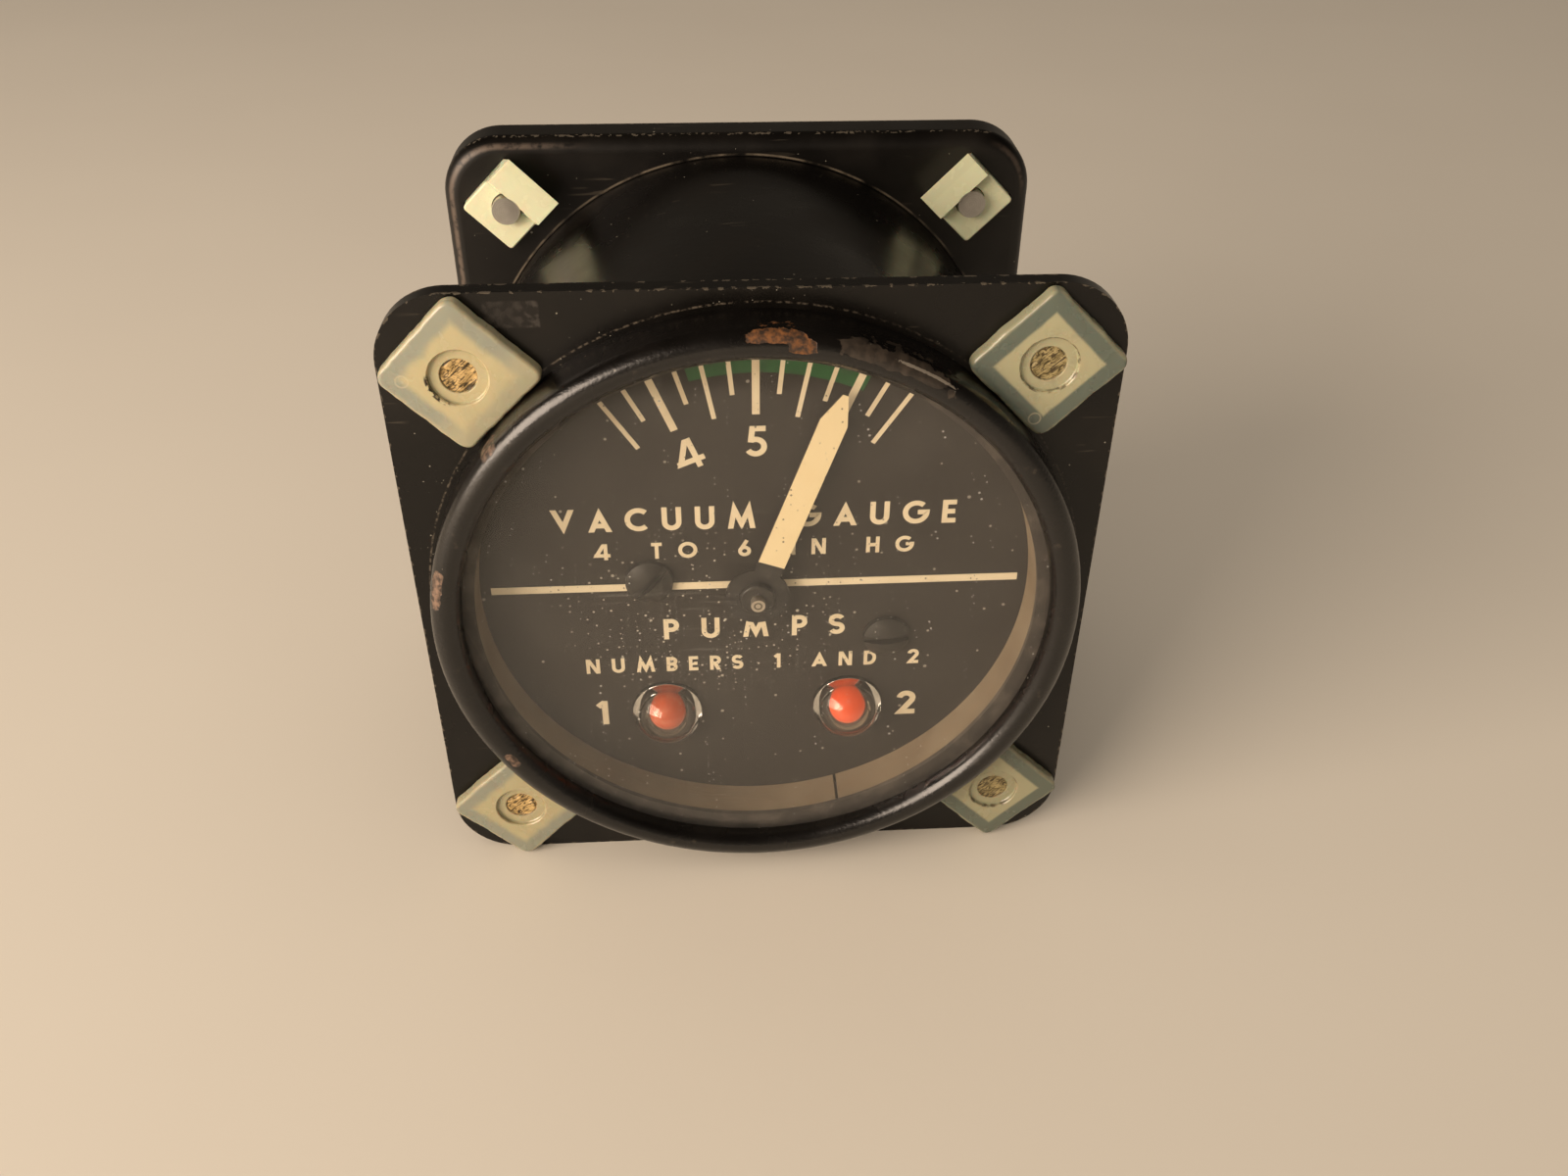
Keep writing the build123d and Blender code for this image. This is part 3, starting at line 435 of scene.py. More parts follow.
    def gleam(self, straight: float) -> Wire:
        """The share that a clear surface mirrors, which grows edge on by the fifth power.

        Args:
            straight: the share straight on.

        Returns:
            A wire from straight to 1.
        """
        facing = self.node("ShaderNodeLayerWeight", {}, {"Blend": 0.5}).outputs["Facing"]
        return Wire(self, facing) ** 5.0 * (1.0 - straight) + straight

    def mix(
        self, mask: Number, first: bpy.types.NodeSocket, second: bpy.types.NodeSocket
    ) -> bpy.types.NodeSocket:
        """A Mix Shader's output."""
        return self.node("ShaderNodeMixShader", {}, {0: mask, 1: first, 2: second}).outputs[0]

    def done(self, surface: bpy.types.NodeSocket) -> bpy.types.Material:
        """Links the surface to the output and returns the material."""
        self.node("ShaderNodeOutputMaterial", {}, {"Surface": surface})
        return self.material


# Finishes
DUST: Colour = (0.40, 0.37, 0.30)
PALE_CHIP: Colour = (0.13, 0.108, 0.078)


@dataclass(frozen=True)
class Enamel:
    """Black enamel on sheet, with dust, fine streaks and rubbed edges."""

    name: str
    half: float
    shift: float
    lips: tuple[float, ...]
    corner: float = CORNER
    base: Colour = (0.0028, 0.0022, 0.0017)
    gloss: float = 0.3
    ripple: float = 0.012
    mirror: float = 0.36

    def build(self) -> bpy.types.Material:
        """Black with a faint brown cast, lifted by dust, and bare along the outline.

        Returns:
            The material.
        """
        board = Board(self.name)
        cloud = board.noise(9.0, 4.0, self.shift)
        colour = board.blend(board.between(cloud, 0.45, 0.75), self.base, (0.007, 0.0055, 0.004))
        streaks = board.scratches(5.0, 0.35, 0.05, self.shift)
        colour = board.blend(streaks * 0.35, colour, (0.09, 0.075, 0.055))
        dust = board.specks(0.9, 0.3, 0.07, self.shift) + board.specks(2.6, 0.35, 0.14, self.shift + 2)
        colour = board.blend((dust * 0.7).held(), colour, DUST)
        edge = board.square_edge(self.half, self.corner)
        near = board.between(abs(board.y - self.lips[0]), 0.4, 0.08)
        for lip in self.lips[1:]:
            near = near.larger(board.between(abs(board.y - lip), 0.4, 0.08))
        torn = board.between(board.noise(0.6, 4.0, self.shift), 0.44, 0.66)
        worn = board.between(edge, -0.3, -0.02) * near * torn
        chips = board.ragged(worn, 0.25, 1.1, self.shift)
        colour = board.blend(chips * 0.6, colour, PALE_CHIP)
        colour = self.marks(board, colour)
        rough = board.between(cloud, 0.2, 0.8) * 0.16 + self.gloss + chips * 0.3 + dust * 0.2
        relief = board.noise(0.9, 2.0, self.shift) * 0.6 - chips * 1.5
        normal = board.bump(relief, self.ripple)
        return board.done(board.principled(colour, rough.held(), normal, Specular_IOR_Level=self.mirror))

    def marks(self, board: Board, colour: bpy.types.NodeSocket) -> bpy.types.NodeSocket:
        """Marks that only one piece has; none here."""
        return colour


@dataclass(frozen=True)
class CaseEnamel(Enamel):
    """The case's enamel, with a rubbed patch on the flange, and dust and a painted highlight in the
    bezel's corner.
    """

    patch_x: float = -19.05
    patch_z: float = 28.3
    foot_radius: float = 29.0

    def marks(self, board: Board, colour: bpy.types.NodeSocket) -> bpy.types.NodeSocket:
        """Adds the patch above the left nut, and the pale line round the bezel's foot, which is partly
        dust and partly a painted highlight, strongest on the lit upper left.

        Args:
            board: the material's board.
            colour: the enamel's colour so far.

        Returns:
            The colour with the marks.
        """
        front = board.between(board.y, 0.5, 0.2)
        beside, above = abs(board.x - self.patch_x), abs(board.z - self.patch_z)
        patch = board.between(beside, 2.25, 2.05) * board.between(above, 1.2, 1.02) * front
        blotches = board.between(board.noise(0.7, 4.0, 5.0), 0.42, 0.62)
        bright = board.between(board.x, -19.2, -17.2) * 0.4 + 0.25
        colour = board.blend(patch * (blotches * bright + 0.10), colour, (0.055, 0.048, 0.042))
        foot = board.radius()
        # painted highlight: this mask weights the pale line and the dust specks round the bezel's foot
        # towards the lit upper left
        quarter = board.between(board.x, 12.0, -4.0) * board.between(board.z, -6.0, 6.0) * 0.7 + 0.3
        fine = board.between(board.noise(0.4, 4.0, 4.0), 0.42, 0.62)
        # the pale line round the foot: partly dust, partly a painted highlight of the foot's edge
        line = board.between(abs(foot - self.foot_radius), 0.13, 0.02) * fine * quarter
        colour = board.blend(line * front * 0.6, colour, (0.17, 0.14, 0.105))
        strewn = board.specks(0.45, 0.4, 0.06, 6.0) * board.between(foot, 30.6, 28.8) * quarter
        return board.blend(strewn * front * 0.8, colour, DUST)


@dataclass(frozen=True)
class PanEnamel(Enamel):
    """The pan's enamel, with a painted highlight in a thin ring where the can comes through, and pale
    stretches along its bend that are partly rubbed paint and partly painted highlight.
    """

    can_radius: float = 28.22
    bend_inset: float = 0.8

    def marks(self, board: Board, colour: bpy.types.NodeSocket) -> bpy.types.NodeSocket:
        """Adds the thin pale line round the can, a painted highlight of the seam's edge, and the pale
        stretches of the bend, partly rubbed paint and partly painted highlight on the lit upper left.

        Args:
            board: the material's board.
            colour: the enamel's colour so far.

        Returns:
            The colour with the marks.
        """
        # painted highlight: a thin pale ring where the edge of the can's seam catches the light
        line = board.between(abs(board.radius() - self.can_radius), 0.16, 0.02)
        broken = board.between(board.noise(2.5, 3.0, 4.0), 0.36, 0.6)
        colour = board.blend(line * broken * 0.8, colour, (0.17, 0.14, 0.10))
        # the pale stretches of the bend, mostly on the lit upper left and a little at the upper right:
        # partly rubbed paint, partly painted highlight
        bend = board.between(abs(board.square_edge(self.half, CORNER) + self.bend_inset), 0.4, 0.05)
        left = board.between(board.x, -14.0, -24.0) * board.between(board.z, 0.0, 12.0)
        right = board.between(board.x, 25.0, 28.5) * board.between(board.z, 22.0, 26.0) * 0.5
        rubbed = bend * (left + right) * board.between(board.noise(0.8, 4.0, 8.0), 0.28, 0.54)
        front = board.between(board.y, 39.6, 39.0)
        return board.blend(rubbed * front * 0.5, colour, (0.20, 0.15, 0.115))


# A stretch of the bead: its start and end in degrees clockwise from the top, its inner and outer radius
Stretch = tuple[float, float, float, float]


@dataclass(frozen=True)
class BezelEnamel:
    """Glossy black enamel on the rolled bead, chipped to a brown primer and rust."""

    name: str = "bezel_enamel"
    mirror: float = 0.5
    rubbed: Stretch = (9, 36, 27.0, 28.6)
    bare_line: Stretch = (21, 35, 27.88, 28.12)
    rust_spot: Stretch = (-3.5, 9, 27.55, 28.55)
    rust_tail: Stretch = (4, 10, 26.8, 28.2)
    left_chip: Stretch = (-84, -73, 27.3, 28.4)
    low_chip: Stretch = (-124, -119, 26.6, 27.5)
    # a pale brown patch at the upper left of the bead's outer side: partly a chip, partly a painted
    # reflection
    chip_and_reflection: Stretch = (-52, -47, 28.0, 28.7)

    def patch(self, board: Board, start: float, end: float, low: float, high: float) -> Wire:
        """A mask over a stretch of the bead.

        Args:
            board: the material's board.
            start: where it starts, in degrees clockwise from the top.
            end: where it ends.
            low: its inner radius.
            high: its outer radius.

        Returns:
            A soft mask, 1 in its middle.
        """
        middle, reach = (start + end) / 2, (end - start) / 2
        centre, width = (low + high) / 2, (high - low) / 2
        along = board.between(abs(board.bearing() - middle), reach * 1.15, reach * 0.3)
        across = board.between(abs(board.radius() - centre), width * 1.3, width * 0.3)
        return along * across * board.between(board.y, -1.8, -2.6)

    def build(self) -> bpy.types.Material:
        """Black, then wear along the crown, then each chip in its own place.

        Returns:
            The material.
        """
        board = Board(self.name)
        cloud = board.noise(5.0, 3.0)
        cast = board.between(cloud, 0.45, 0.8)
        colour = board.blend(cast, (0.003, 0.0024, 0.002), (0.006, 0.0048, 0.004))
        dust = board.specks(1.1, 0.2, 0.07) + board.specks(3.1, 0.25, 0.14, 3.0)
        colour = board.blend((dust * 0.5).held(), colour, DUST)
        rub = self.patch(board, *self.rubbed)
        wear = board.ragged(rub, 0.9, 1.3, 2.0)
        smoke = board.between(board.noise(0.8, 4.0, 3.0), 0.35, 0.65) * 0.5 + 0.35
        colour = board.blend(wear * smoke, colour, (0.05, 0.037, 0.026))
        bare = board.ragged(self.patch(board, *self.bare_line), 0.22, 1.5, 8.0)
        colour = board.blend(bare * 0.9, colour, (0.50, 0.44, 0.36))
        rust_place = self.patch(board, *self.rust_spot).larger(self.patch(board, *self.rust_tail))
        rust = board.ragged(rust_place, 0.7, 1.0, 1.0)
        shade = board.between(board.noise(0.5, 3.0, 6.0), 0.35, 0.7)
        orange = board.blend(shade, (0.03, 0.016, 0.008), (0.20, 0.075, 0.017))
        colour = board.blend(rust * 0.95, colour, orange)
        chips = board.ragged(self.patch(board, *self.left_chip), 0.8, 1.7, 4.0)
        chips = chips.larger(board.ragged(self.patch(board, *self.low_chip), 0.4, 0.9, 7.0))
        # the upper left patch, partly chip and partly painted reflection, joins the chips at 0.6
        chips = chips.larger(board.ragged(self.patch(board, *self.chip_and_reflection), 0.4, 1.1, 9.0) * 0.6)
        brown = board.blend(shade, (0.035, 0.022, 0.014), (0.24, 0.15, 0.10))
        colour = board.blend(chips * 0.95, colour, brown)
        broken = board.between(board.noise(1.3, 3.0, 5.0), 0.62, 0.74)
        crown = board.between(board.y, -4.35, -4.62) * broken
        colour = board.blend(crown * 0.4, colour, (0.07, 0.055, 0.04))
        damage = rust.larger(chips).larger(wear * 0.5)
        rough = board.between(cloud, 0.2, 0.8) * 0.08 + 0.23 + damage * 0.4 + dust * 0.15
        ripple = board.noise(1.1, 2.0, 1.0) * 0.4 + board.noise(0.35, 3.0, 2.0) * 0.25
        peel = board.noise(0.3, 2.0, 5.0) * 0.8
        relief = ripple + peel - damage * 1.2 + board.noise(0.25, 2.0) * damage * 0.7
        normal = board.bump(relief, 0.032)
        shader = board.principled(
            colour,
            rough.held(),
            normal,
            metallic=bare * 0.7,
            Specular_IOR_Level=self.mirror,
            Coat_Weight=0.22,
            Coat_Roughness=0.2,
        )
        return board.done(shader)


@dataclass(frozen=True)
class Nylon:
    """Milky nylon: cloudy at the rim, warm over the solid body, with a grimy threaded hole, painted shade
    on the right and lower nuts and a painted highlight on the pad's edge.
    """

    name: str
    rim: Colour
    shaded_rim: Colour
    body: Colour
    shaded_body: Colour
    shift: float
    hole: float = 1.5
    # the strength of the painted shade over the lower nuts
    painted_low_shade: float = 0.22
    marked: bool = True

    def scars(self, board: Board, colour: bpy.types.NodeSocket) -> bpy.types.NodeSocket:
        """Adds the dark crescent by the upper left hole and the two small moulded circles.

        Args:
            board: the material's board.
            colour: the nylon's colour so far.

        Returns:
            The colour with the marks.
        """
        left = board.radius(-CORNER_REACH, CORNER_REACH)
        torn = board.between(board.noise(0.45, 3.0, 2.0), 0.40, 0.50)
        stretch = board.between(board.spot(-CORNER_REACH - 2.1, CORNER_REACH - 1.35, 1.75, 1.9), 0.05, 0.3)
        crescent = board.between(abs(left - 2.52), 0.2, 0.08) * torn * stretch
        colour = board.blend(crescent, colour, (0.018, 0.012, 0.006))
        lean = board.between(board.x - board.z + 2 * CORNER_REACH, 0.5, 4.5)
        upper_left = board.between(board.x, 0.0, -5.0) * board.between(board.z, 0.0, 5.0)
        colour = board.blend(lean * upper_left * 0.5, colour, self.body)
        circle = board.between(abs(board.radius(-CORNER_REACH - 4.4, CORNER_REACH - 0.2) - 0.5), 0.1, 0.03)
        lower = board.between(abs(board.radius(CORNER_REACH - 0.7, CORNER_REACH - 4.8) - 0.5), 0.1, 0.03)
        front = board.between(board.y, 1.0, 0.0)
        return board.blend(circle.larger(lower) * front * 0.35, colour, (0.62, 0.54, 0.38))

    def build(self) -> bpy.types.Material:
        """Blends rim, body and hole by the distance from each nut's own axis.

        Returns:
            The material.
        """
        board = Board(self.name)
        out = abs(board.x) - CORNER_REACH
        up = abs(board.z) - CORNER_REACH
        along = (out + up) * float(np.sqrt(0.5))
        across = (out - up) * float(np.sqrt(0.5))
        cloud = board.noise(1.6, 3.0, self.shift)
        # painted shade: right goes from 0 on the left nuts to 1 on the right nuts, which get the darker
        # shaded colours
        right = board.between(board.x, -5.0, 5.0)
        low = board.between(board.z, 5.0, -5.0)
        square = abs(along).larger(abs(across)) + (cloud - 0.5) * (0.7 - right * 0.6)
        round_away = (out * out + up * up).root()
        inner = board.between(square, 3.75 - right * 0.35, 2.9 + right * 0.2)
        rim = board.blend(right, self.rim, self.shaded_rim)
        body = board.blend(right, self.body, self.shaded_body)
        colour = board.blend(inner, rim, body)
        # painted highlight: a paler band along the pad's outer edge
        outline = board.between(square, 4.4, 4.75)
        colour = board.blend(outline * 0.6, colour, body)
        colour = board.blend(board.between(cloud, 0.5, 0.8) * 0.25, colour, rim)
        # painted shade: a dark tint over the lower nuts
        colour = board.blend(low * self.painted_low_shade, colour, (0.10, 0.085, 0.045))
        broken = board.between(board.noise(0.8, 2.0, self.shift + 2), 0.44, 0.6)
        # painted shade: a dark ring in the recess's edge, heavier on the right nuts
        ring = board.between(abs(round_away - 2.42), 0.13, 0.03) * broken
        if self.marked:
            colour = board.blend(ring * (right * 0.45 + 0.3), colour, (0.06, 0.042, 0.02))
            colour = self.scars(board, colour)
        strokes = board.between(board.threads(0.9, 0.16, 40.0, self.shift), 0.46, 0.60)
        bore = board.blend(strokes, (0.09, 0.06, 0.022), (0.46, 0.34, 0.15))
        mouth = board.between(round_away, self.hole + 0.1, self.hole - 0.1)
        colour = board.blend(mouth, colour, bore)
        specks = board.specks(0.9, 0.2, 0.07, self.shift)
        colour = board.blend(specks * 0.6, colour, (0.16, 0.11, 0.06))
        rough = cloud * 0.2 + 0.16 + mouth * 0.4
        relief = board.noise(0.7, 2.0, self.shift) + strokes * mouth * 1.5
        shader = board.principled(
            colour,
            rough.held(),
            board.bump(relief, 0.018),
            Subsurface_Weight=0.3,
            Subsurface_Scale=0.0008,
            IOR=1.53,
        )
        return board.done(shader)


@dataclass(frozen=True)
class WindowGlass:
    """Flat glass under a thin pale film, partly dust and partly a painted reflection of the floor, which
    is thicker low down and almost none in a strip at the top, where that reflection is dark.
    """

    name: str = "window_glass"
    # where the film of dust and painted reflection ends at the top, and where it is full
    dust_and_reflection_top: float = 23.9
    dust_and_reflection_full: float = 21.7

    def build(self) -> bpy.types.Material:
        """Clear and mirror-like by Fresnel, with a share of pale film mixed in, partly dust and partly
        painted reflection.

        Returns:
            The material.
        """
        board = Board(self.name)
        clear = board.node("ShaderNodeBsdfTransparent", {}, {"Color": (0.985, 0.98, 0.965)}).outputs[0]
        gleam = board.node("ShaderNodeBsdfGlossy", {}, {"Roughness": 0.03}).outputs[0]
        glass = board.mix(board.gleam(0.02), clear, gleam)
        film = board.node("ShaderNodeBsdfDiffuse", {}, {"Color": (0.80, 0.79, 0.73)}).outputs[0]
        cloud = board.noise(7.0, 4.0, 2.0)
        # painted reflection: the film is full low down and nearly gone in a strip at the top, where the
        # real glass mirrors something dark
        low = board.between(board.z, self.dust_and_reflection_top, self.dust_and_reflection_full)
        lower = board.between(board.z, 12.0, -16.0) * 0.006
        haze = low * 0.016 + lower + board.between(cloud, 0.4, 0.8) * 0.006
        dust = board.specks(1.2, 0.2, 0.06, 0.0, True) + board.specks(3.3, 0.3, 0.12, 4.0, True)
        patch = board.specks(0.6, 0.4, 0.07, 6.0, True) * board.spot(-6.0, -4.0, 14.0, 10.0)
        smear = board.scratches(9.0, 0.5, 0.04, 7.0) * 0.03
        cover = haze + (dust + patch) * 0.4 + smear
        return board.done(board.mix(cover.held(), glass, film))


@dataclass(frozen=True)
class LensPlastic:
    """Clear acrylic with a little dust on it."""

    name: str = "lens_plastic"

    def build(self) -> bpy.types.Material:
        """Refracts by the plastic's index, with dull specks mixed in.

        Returns:
            The material.
        """
        board = Board(self.name)
        dull = board.node("ShaderNodeBsdfDiffuse", {}, {"Color": (0.50, 0.44, 0.36)}).outputs[0]
        clear = board.principled((0.97, 0.95, 0.92), 0.04, Transmission_Weight=1.0, IOR=1.49)
        haze = board.specks(0.6, 0.3, 0.06, 1.0) * 0.35 + board.noise(1.5, 2.0, 3.0) * 0.03
        return board.done(board.mix(haze.held(), clear, dull))


@dataclass(frozen=True)
class DialPaint:
    """Flat black dial paint with lint and dust lying on it."""

    name: str = "dial_paint"

    def build(self) -> bpy.types.Material:
        """Grey-brown black, with dust thickest left of and below the hub.

        Returns:
            The material.
        """
        board = Board(self.name)
        cloud = board.noise(6.0, 4.0, 1.0)
        cast = board.between(cloud, 0.35, 0.75)
        colour = board.blend(cast, (0.015, 0.011, 0.008), (0.021, 0.0165, 0.0125))
        fine = board.specks(0.75, 0.4, 0.12, 2.0, True)
        lint = board.specks(2.4, 0.35, 0.17, 5.0, True)
        near = board.spot(-5.0, -3.0, 16.0, 11.0)
        dust = fine * board.between(near, 0.0, 0.5) * 0.8 + lint * (near * 0.5 + 0.45)
        colour = board.blend(dust.held(), colour, (0.55, 0.52, 0.44))
        return board.done(board.principled(colour, 0.62, board.bump(dust, 0.008)))


@dataclass(frozen=True)
class Print:
    """Screened paint, with pinholes and faint unevenness."""

    name: str
    colour: Colour
    worn: Colour
    shift: float = 0.0
    gloss: float = 0.5

    def build(self) -> bpy.types.Material:
        """One colour, a little worn in places, with dark pinholes.

        Returns:
            The material.
        """
        board = Board(self.name)
        cloud = board.noise(2.4, 4.0, self.shift)
        colour = board.blend(board.between(cloud, 0.45, 0.8), self.colour, self.worn)
        holes = board.specks(0.6, 0.2, 0.10, self.shift, True)
        colour = board.blend(holes * 0.75, colour, (0.05, 0.04, 0.03))
        relief = board.noise(0.2, 2.0, self.shift) - holes
        return board.done(board.principled(colour, self.gloss, board.bump(relief, 0.01)))


@dataclass(frozen=True)
class Metal:
    """Bare metal with fine grain and a tarnish that lies in clouds."""

    name: str
    colour: Colour
    tarnish: Colour
    rough: float = 0.3
    grain: tuple[float, float, float] = (1.0, 1.0, 1.0)
    shift: float = 0.0

    def build(self) -> bpy.types.Material:
        """Metal under a patchy tarnish, with its grain along one axis.

        Returns:
            The material.
        """
        board = Board(self.name)
        cloud = board.noise(3.2, 4.0, self.shift)
        dull = board.between(cloud, 0.48, 0.74)
        colour = board.blend(dull * 0.6, self.colour, self.tarnish)
        lines = board.noise(0.16, 2.0, self.shift, self.grain)
        rough = lines * 0.14 + dull * 0.18 + self.rough
        normal = board.bump(lines, 0.006)
        return board.done(board.principled(colour, rough.held(), normal, metallic=1.0 - dull * 0.25))


@dataclass(frozen=True)
class TurnedMetal:
    """Metal faced on a lathe, with rings round a row of axes."""

    name: str
    colour: Colour
    tarnish: Colour
    centres: tuple[tuple[float, float], ...]
    rough: float = 0.3
    # the radius of a dark ring of painted shade that stands for a groove; 0 for none
    painted_groove_shade: float = 0.0

    def build(self) -> bpy.types.Material:
        """Tool rings about the nearest axis, grime in their grooves, and, where asked, a dark ring of
        painted shade that stands for a groove.

        Returns:
            The material.
        """
        board = Board(self.name)
        away = board.radius(*self.centres[0])
        for x, z in self.centres[1:]:
            away = away.smaller(board.radius(x, z))
        rings = board.math("SINE", away * 30.0) * 0.5 + 0.5
        cloud = board.noise(2.6, 4.0)
        dull = board.between(cloud, 0.45, 0.75)
        colour = board.blend((dull * 0.55 + rings * 0.1).held(), self.colour, self.tarnish)
        # painted shade: a dark ring that stands for a groove's shadow; the surface has no groove
        if self.painted_groove_shade:
            cut = board.between(abs(away - self.painted_groove_shade), 0.1, 0.04)
            colour = board.blend(cut * 0.85, colour, (0.06, 0.05, 0.035))
        rough = rings * 0.08 + dull * 0.2 + self.rough
        normal = board.bump(rings * 0.5 + board.noise(0.3) * 0.7, 0.008)
        return board.done(board.principled(colour, rough.held(), normal, metallic=1.0 - dull * 0.3))


@dataclass(frozen=True)
class Rubber:
    """Soft black or grey gasket material."""

    name: str
    colour: Colour
    pale: Colour

    def build(self) -> bpy.types.Material:
        """Dull, with a bloom in clouds and fine grain.

        Returns:
            The material.
        """
        board = Board(self.name)
        cloud = board.noise(2.0, 4.0, 3.0)
        grain = board.noise(0.15, 2.0)
        colour = board.blend(board.between(cloud, 0.4, 0.75), self.colour, self.pale)
        colour = board.blend(board.specks(0.7, 0.25, 0.06) * 0.6, colour, DUST)
        return board.done(board.principled(colour, 0.72, board.bump(grain, 0.02)))


@dataclass(frozen=True)
class FibreStrip:
    """The tan strip bent round inside the case, paler where the lamp reaches it."""

    name: str = "fibre_strip"

    def build(self) -> bpy.types.Material:
        """Tan with lines that run round the strip and dust on its edge.

        Returns:
            The material.
        """
        board = Board(self.name)
        lines = board.noise(0.5, 3.0, 1.0, (0.25, 2.2, 0.25))
        cloud = board.noise(5.0, 3.0, 2.0)
        colour = board.blend(board.between(cloud, 0.3, 0.75), (0.20, 0.15, 0.096), (0.275, 0.22, 0.148))
        colour = board.blend(board.between(lines, 0.45, 0.75) * 0.45, colour, (0.24, 0.155, 0.08))
        colour = board.blend(board.specks(0.7, 0.3, 0.06) * 0.7, colour, (0.72, 0.63, 0.48))
        return board.done(board.principled(colour, 0.55, board.bump(lines, 0.02)))


@dataclass(frozen=True)
class SignalPaint:
    """Bright fluorescent orange red paint on the plungers, rubbed and dusty on the left one, with a
    painted glow.
    """

    name: str = "signal_paint"

    def build(self) -> bpy.types.Material:
        """Orange red, duller on the left, with pale dust and a painted glow that is weaker on the left.

        Returns:
            The material.
        """
        board = Board(self.name)
        left = board.between(board.x, 2.0, -2.0)
        colour = board.blend(left, (1.0, 0.10, 0.012), (0.80, 0.13, 0.035))
        cloud = board.between(board.noise(0.9, 3.0, 1.0), 0.48, 0.75)
        colour = board.blend(cloud * (left * 0.35 + 0.06), colour, (0.80, 0.36, 0.17))
        normal = board.bump(board.noise(0.4), 0.01)
        # painted light: an orange red emission, weaker on the left plunger, that makes the plungers glow
        # though they are no lamp
        painted_glow = board.blend(left, (1.0, 0.085, 0.0), (0.42, 0.05, 0.008))
        shader = board.principled(
            colour, 0.34, normal, Coat_Weight=0.3, Emission_Color=painted_glow, Emission_Strength=0.42
        )
        return board.done(shader)


@dataclass(frozen=True)
class BlackMetal:
    """Blacked or painted small hardware, rubbed at its high spots."""

    name: str
    base: Colour = (0.018, 0.016, 0.014)
    rub: Colour = (0.10, 0.09, 0.075)
    gloss: float = 0.33
    shift: float = 0.0

    def build(self) -> bpy.types.Material:
        """Black with rubbed flecks and dust.

        Returns:
            The material.
        """
        board = Board(self.name)
        cloud = board.noise(0.9, 4.0, self.shift)
        colour = board.blend(board.between(cloud, 0.55, 0.8) * 0.7, self.base, self.rub)
        dust = board.specks(0.6, 0.25, 0.05, self.shift)
        colour = board.blend(dust * 0.7, colour, (0.42, 0.37, 0.29))
        rough = cloud * 0.2 + self.gloss
        normal = board.bump(board.noise(0.3, 2.0, self.shift), 0.01)
        return board.done(board.principled(colour, rough.held(), normal))


@dataclass(frozen=True)
class FloorSheet:
    """The plain pale floor."""

    name: str = "floor_sheet"

    def build(self) -> bpy.types.Material:
        """Warm white, very slightly uneven.

        Returns:
            The material.
        """
        board = Board(self.name)
        cloud = board.noise(60.0, 2.0)
        colour = board.blend(cloud, (0.70, 0.655, 0.57), (0.735, 0.69, 0.60))
        return board.done(board.principled(colour, 0.7))


BRASS: Colour = (0.62, 0.43, 0.16)
BRASS_DULL: Colour = (0.30, 0.20, 0.08)
STEEL: Colour = (0.56, 0.54, 0.50)
STEEL_DULL: Colour = (0.27, 0.24, 0.19)
SCREW_AXES = tuple((x * CORNER_REACH, z * CORNER_REACH) for x in (-1, 1) for z in (-1, 1))
MAIN_PORT_Z = 5.22
PORT_AXES = ((0.0, MAIN_PORT_Z), (-INDICATOR_X, INDICATOR_Z), (INDICATOR_X, INDICATOR_Z))

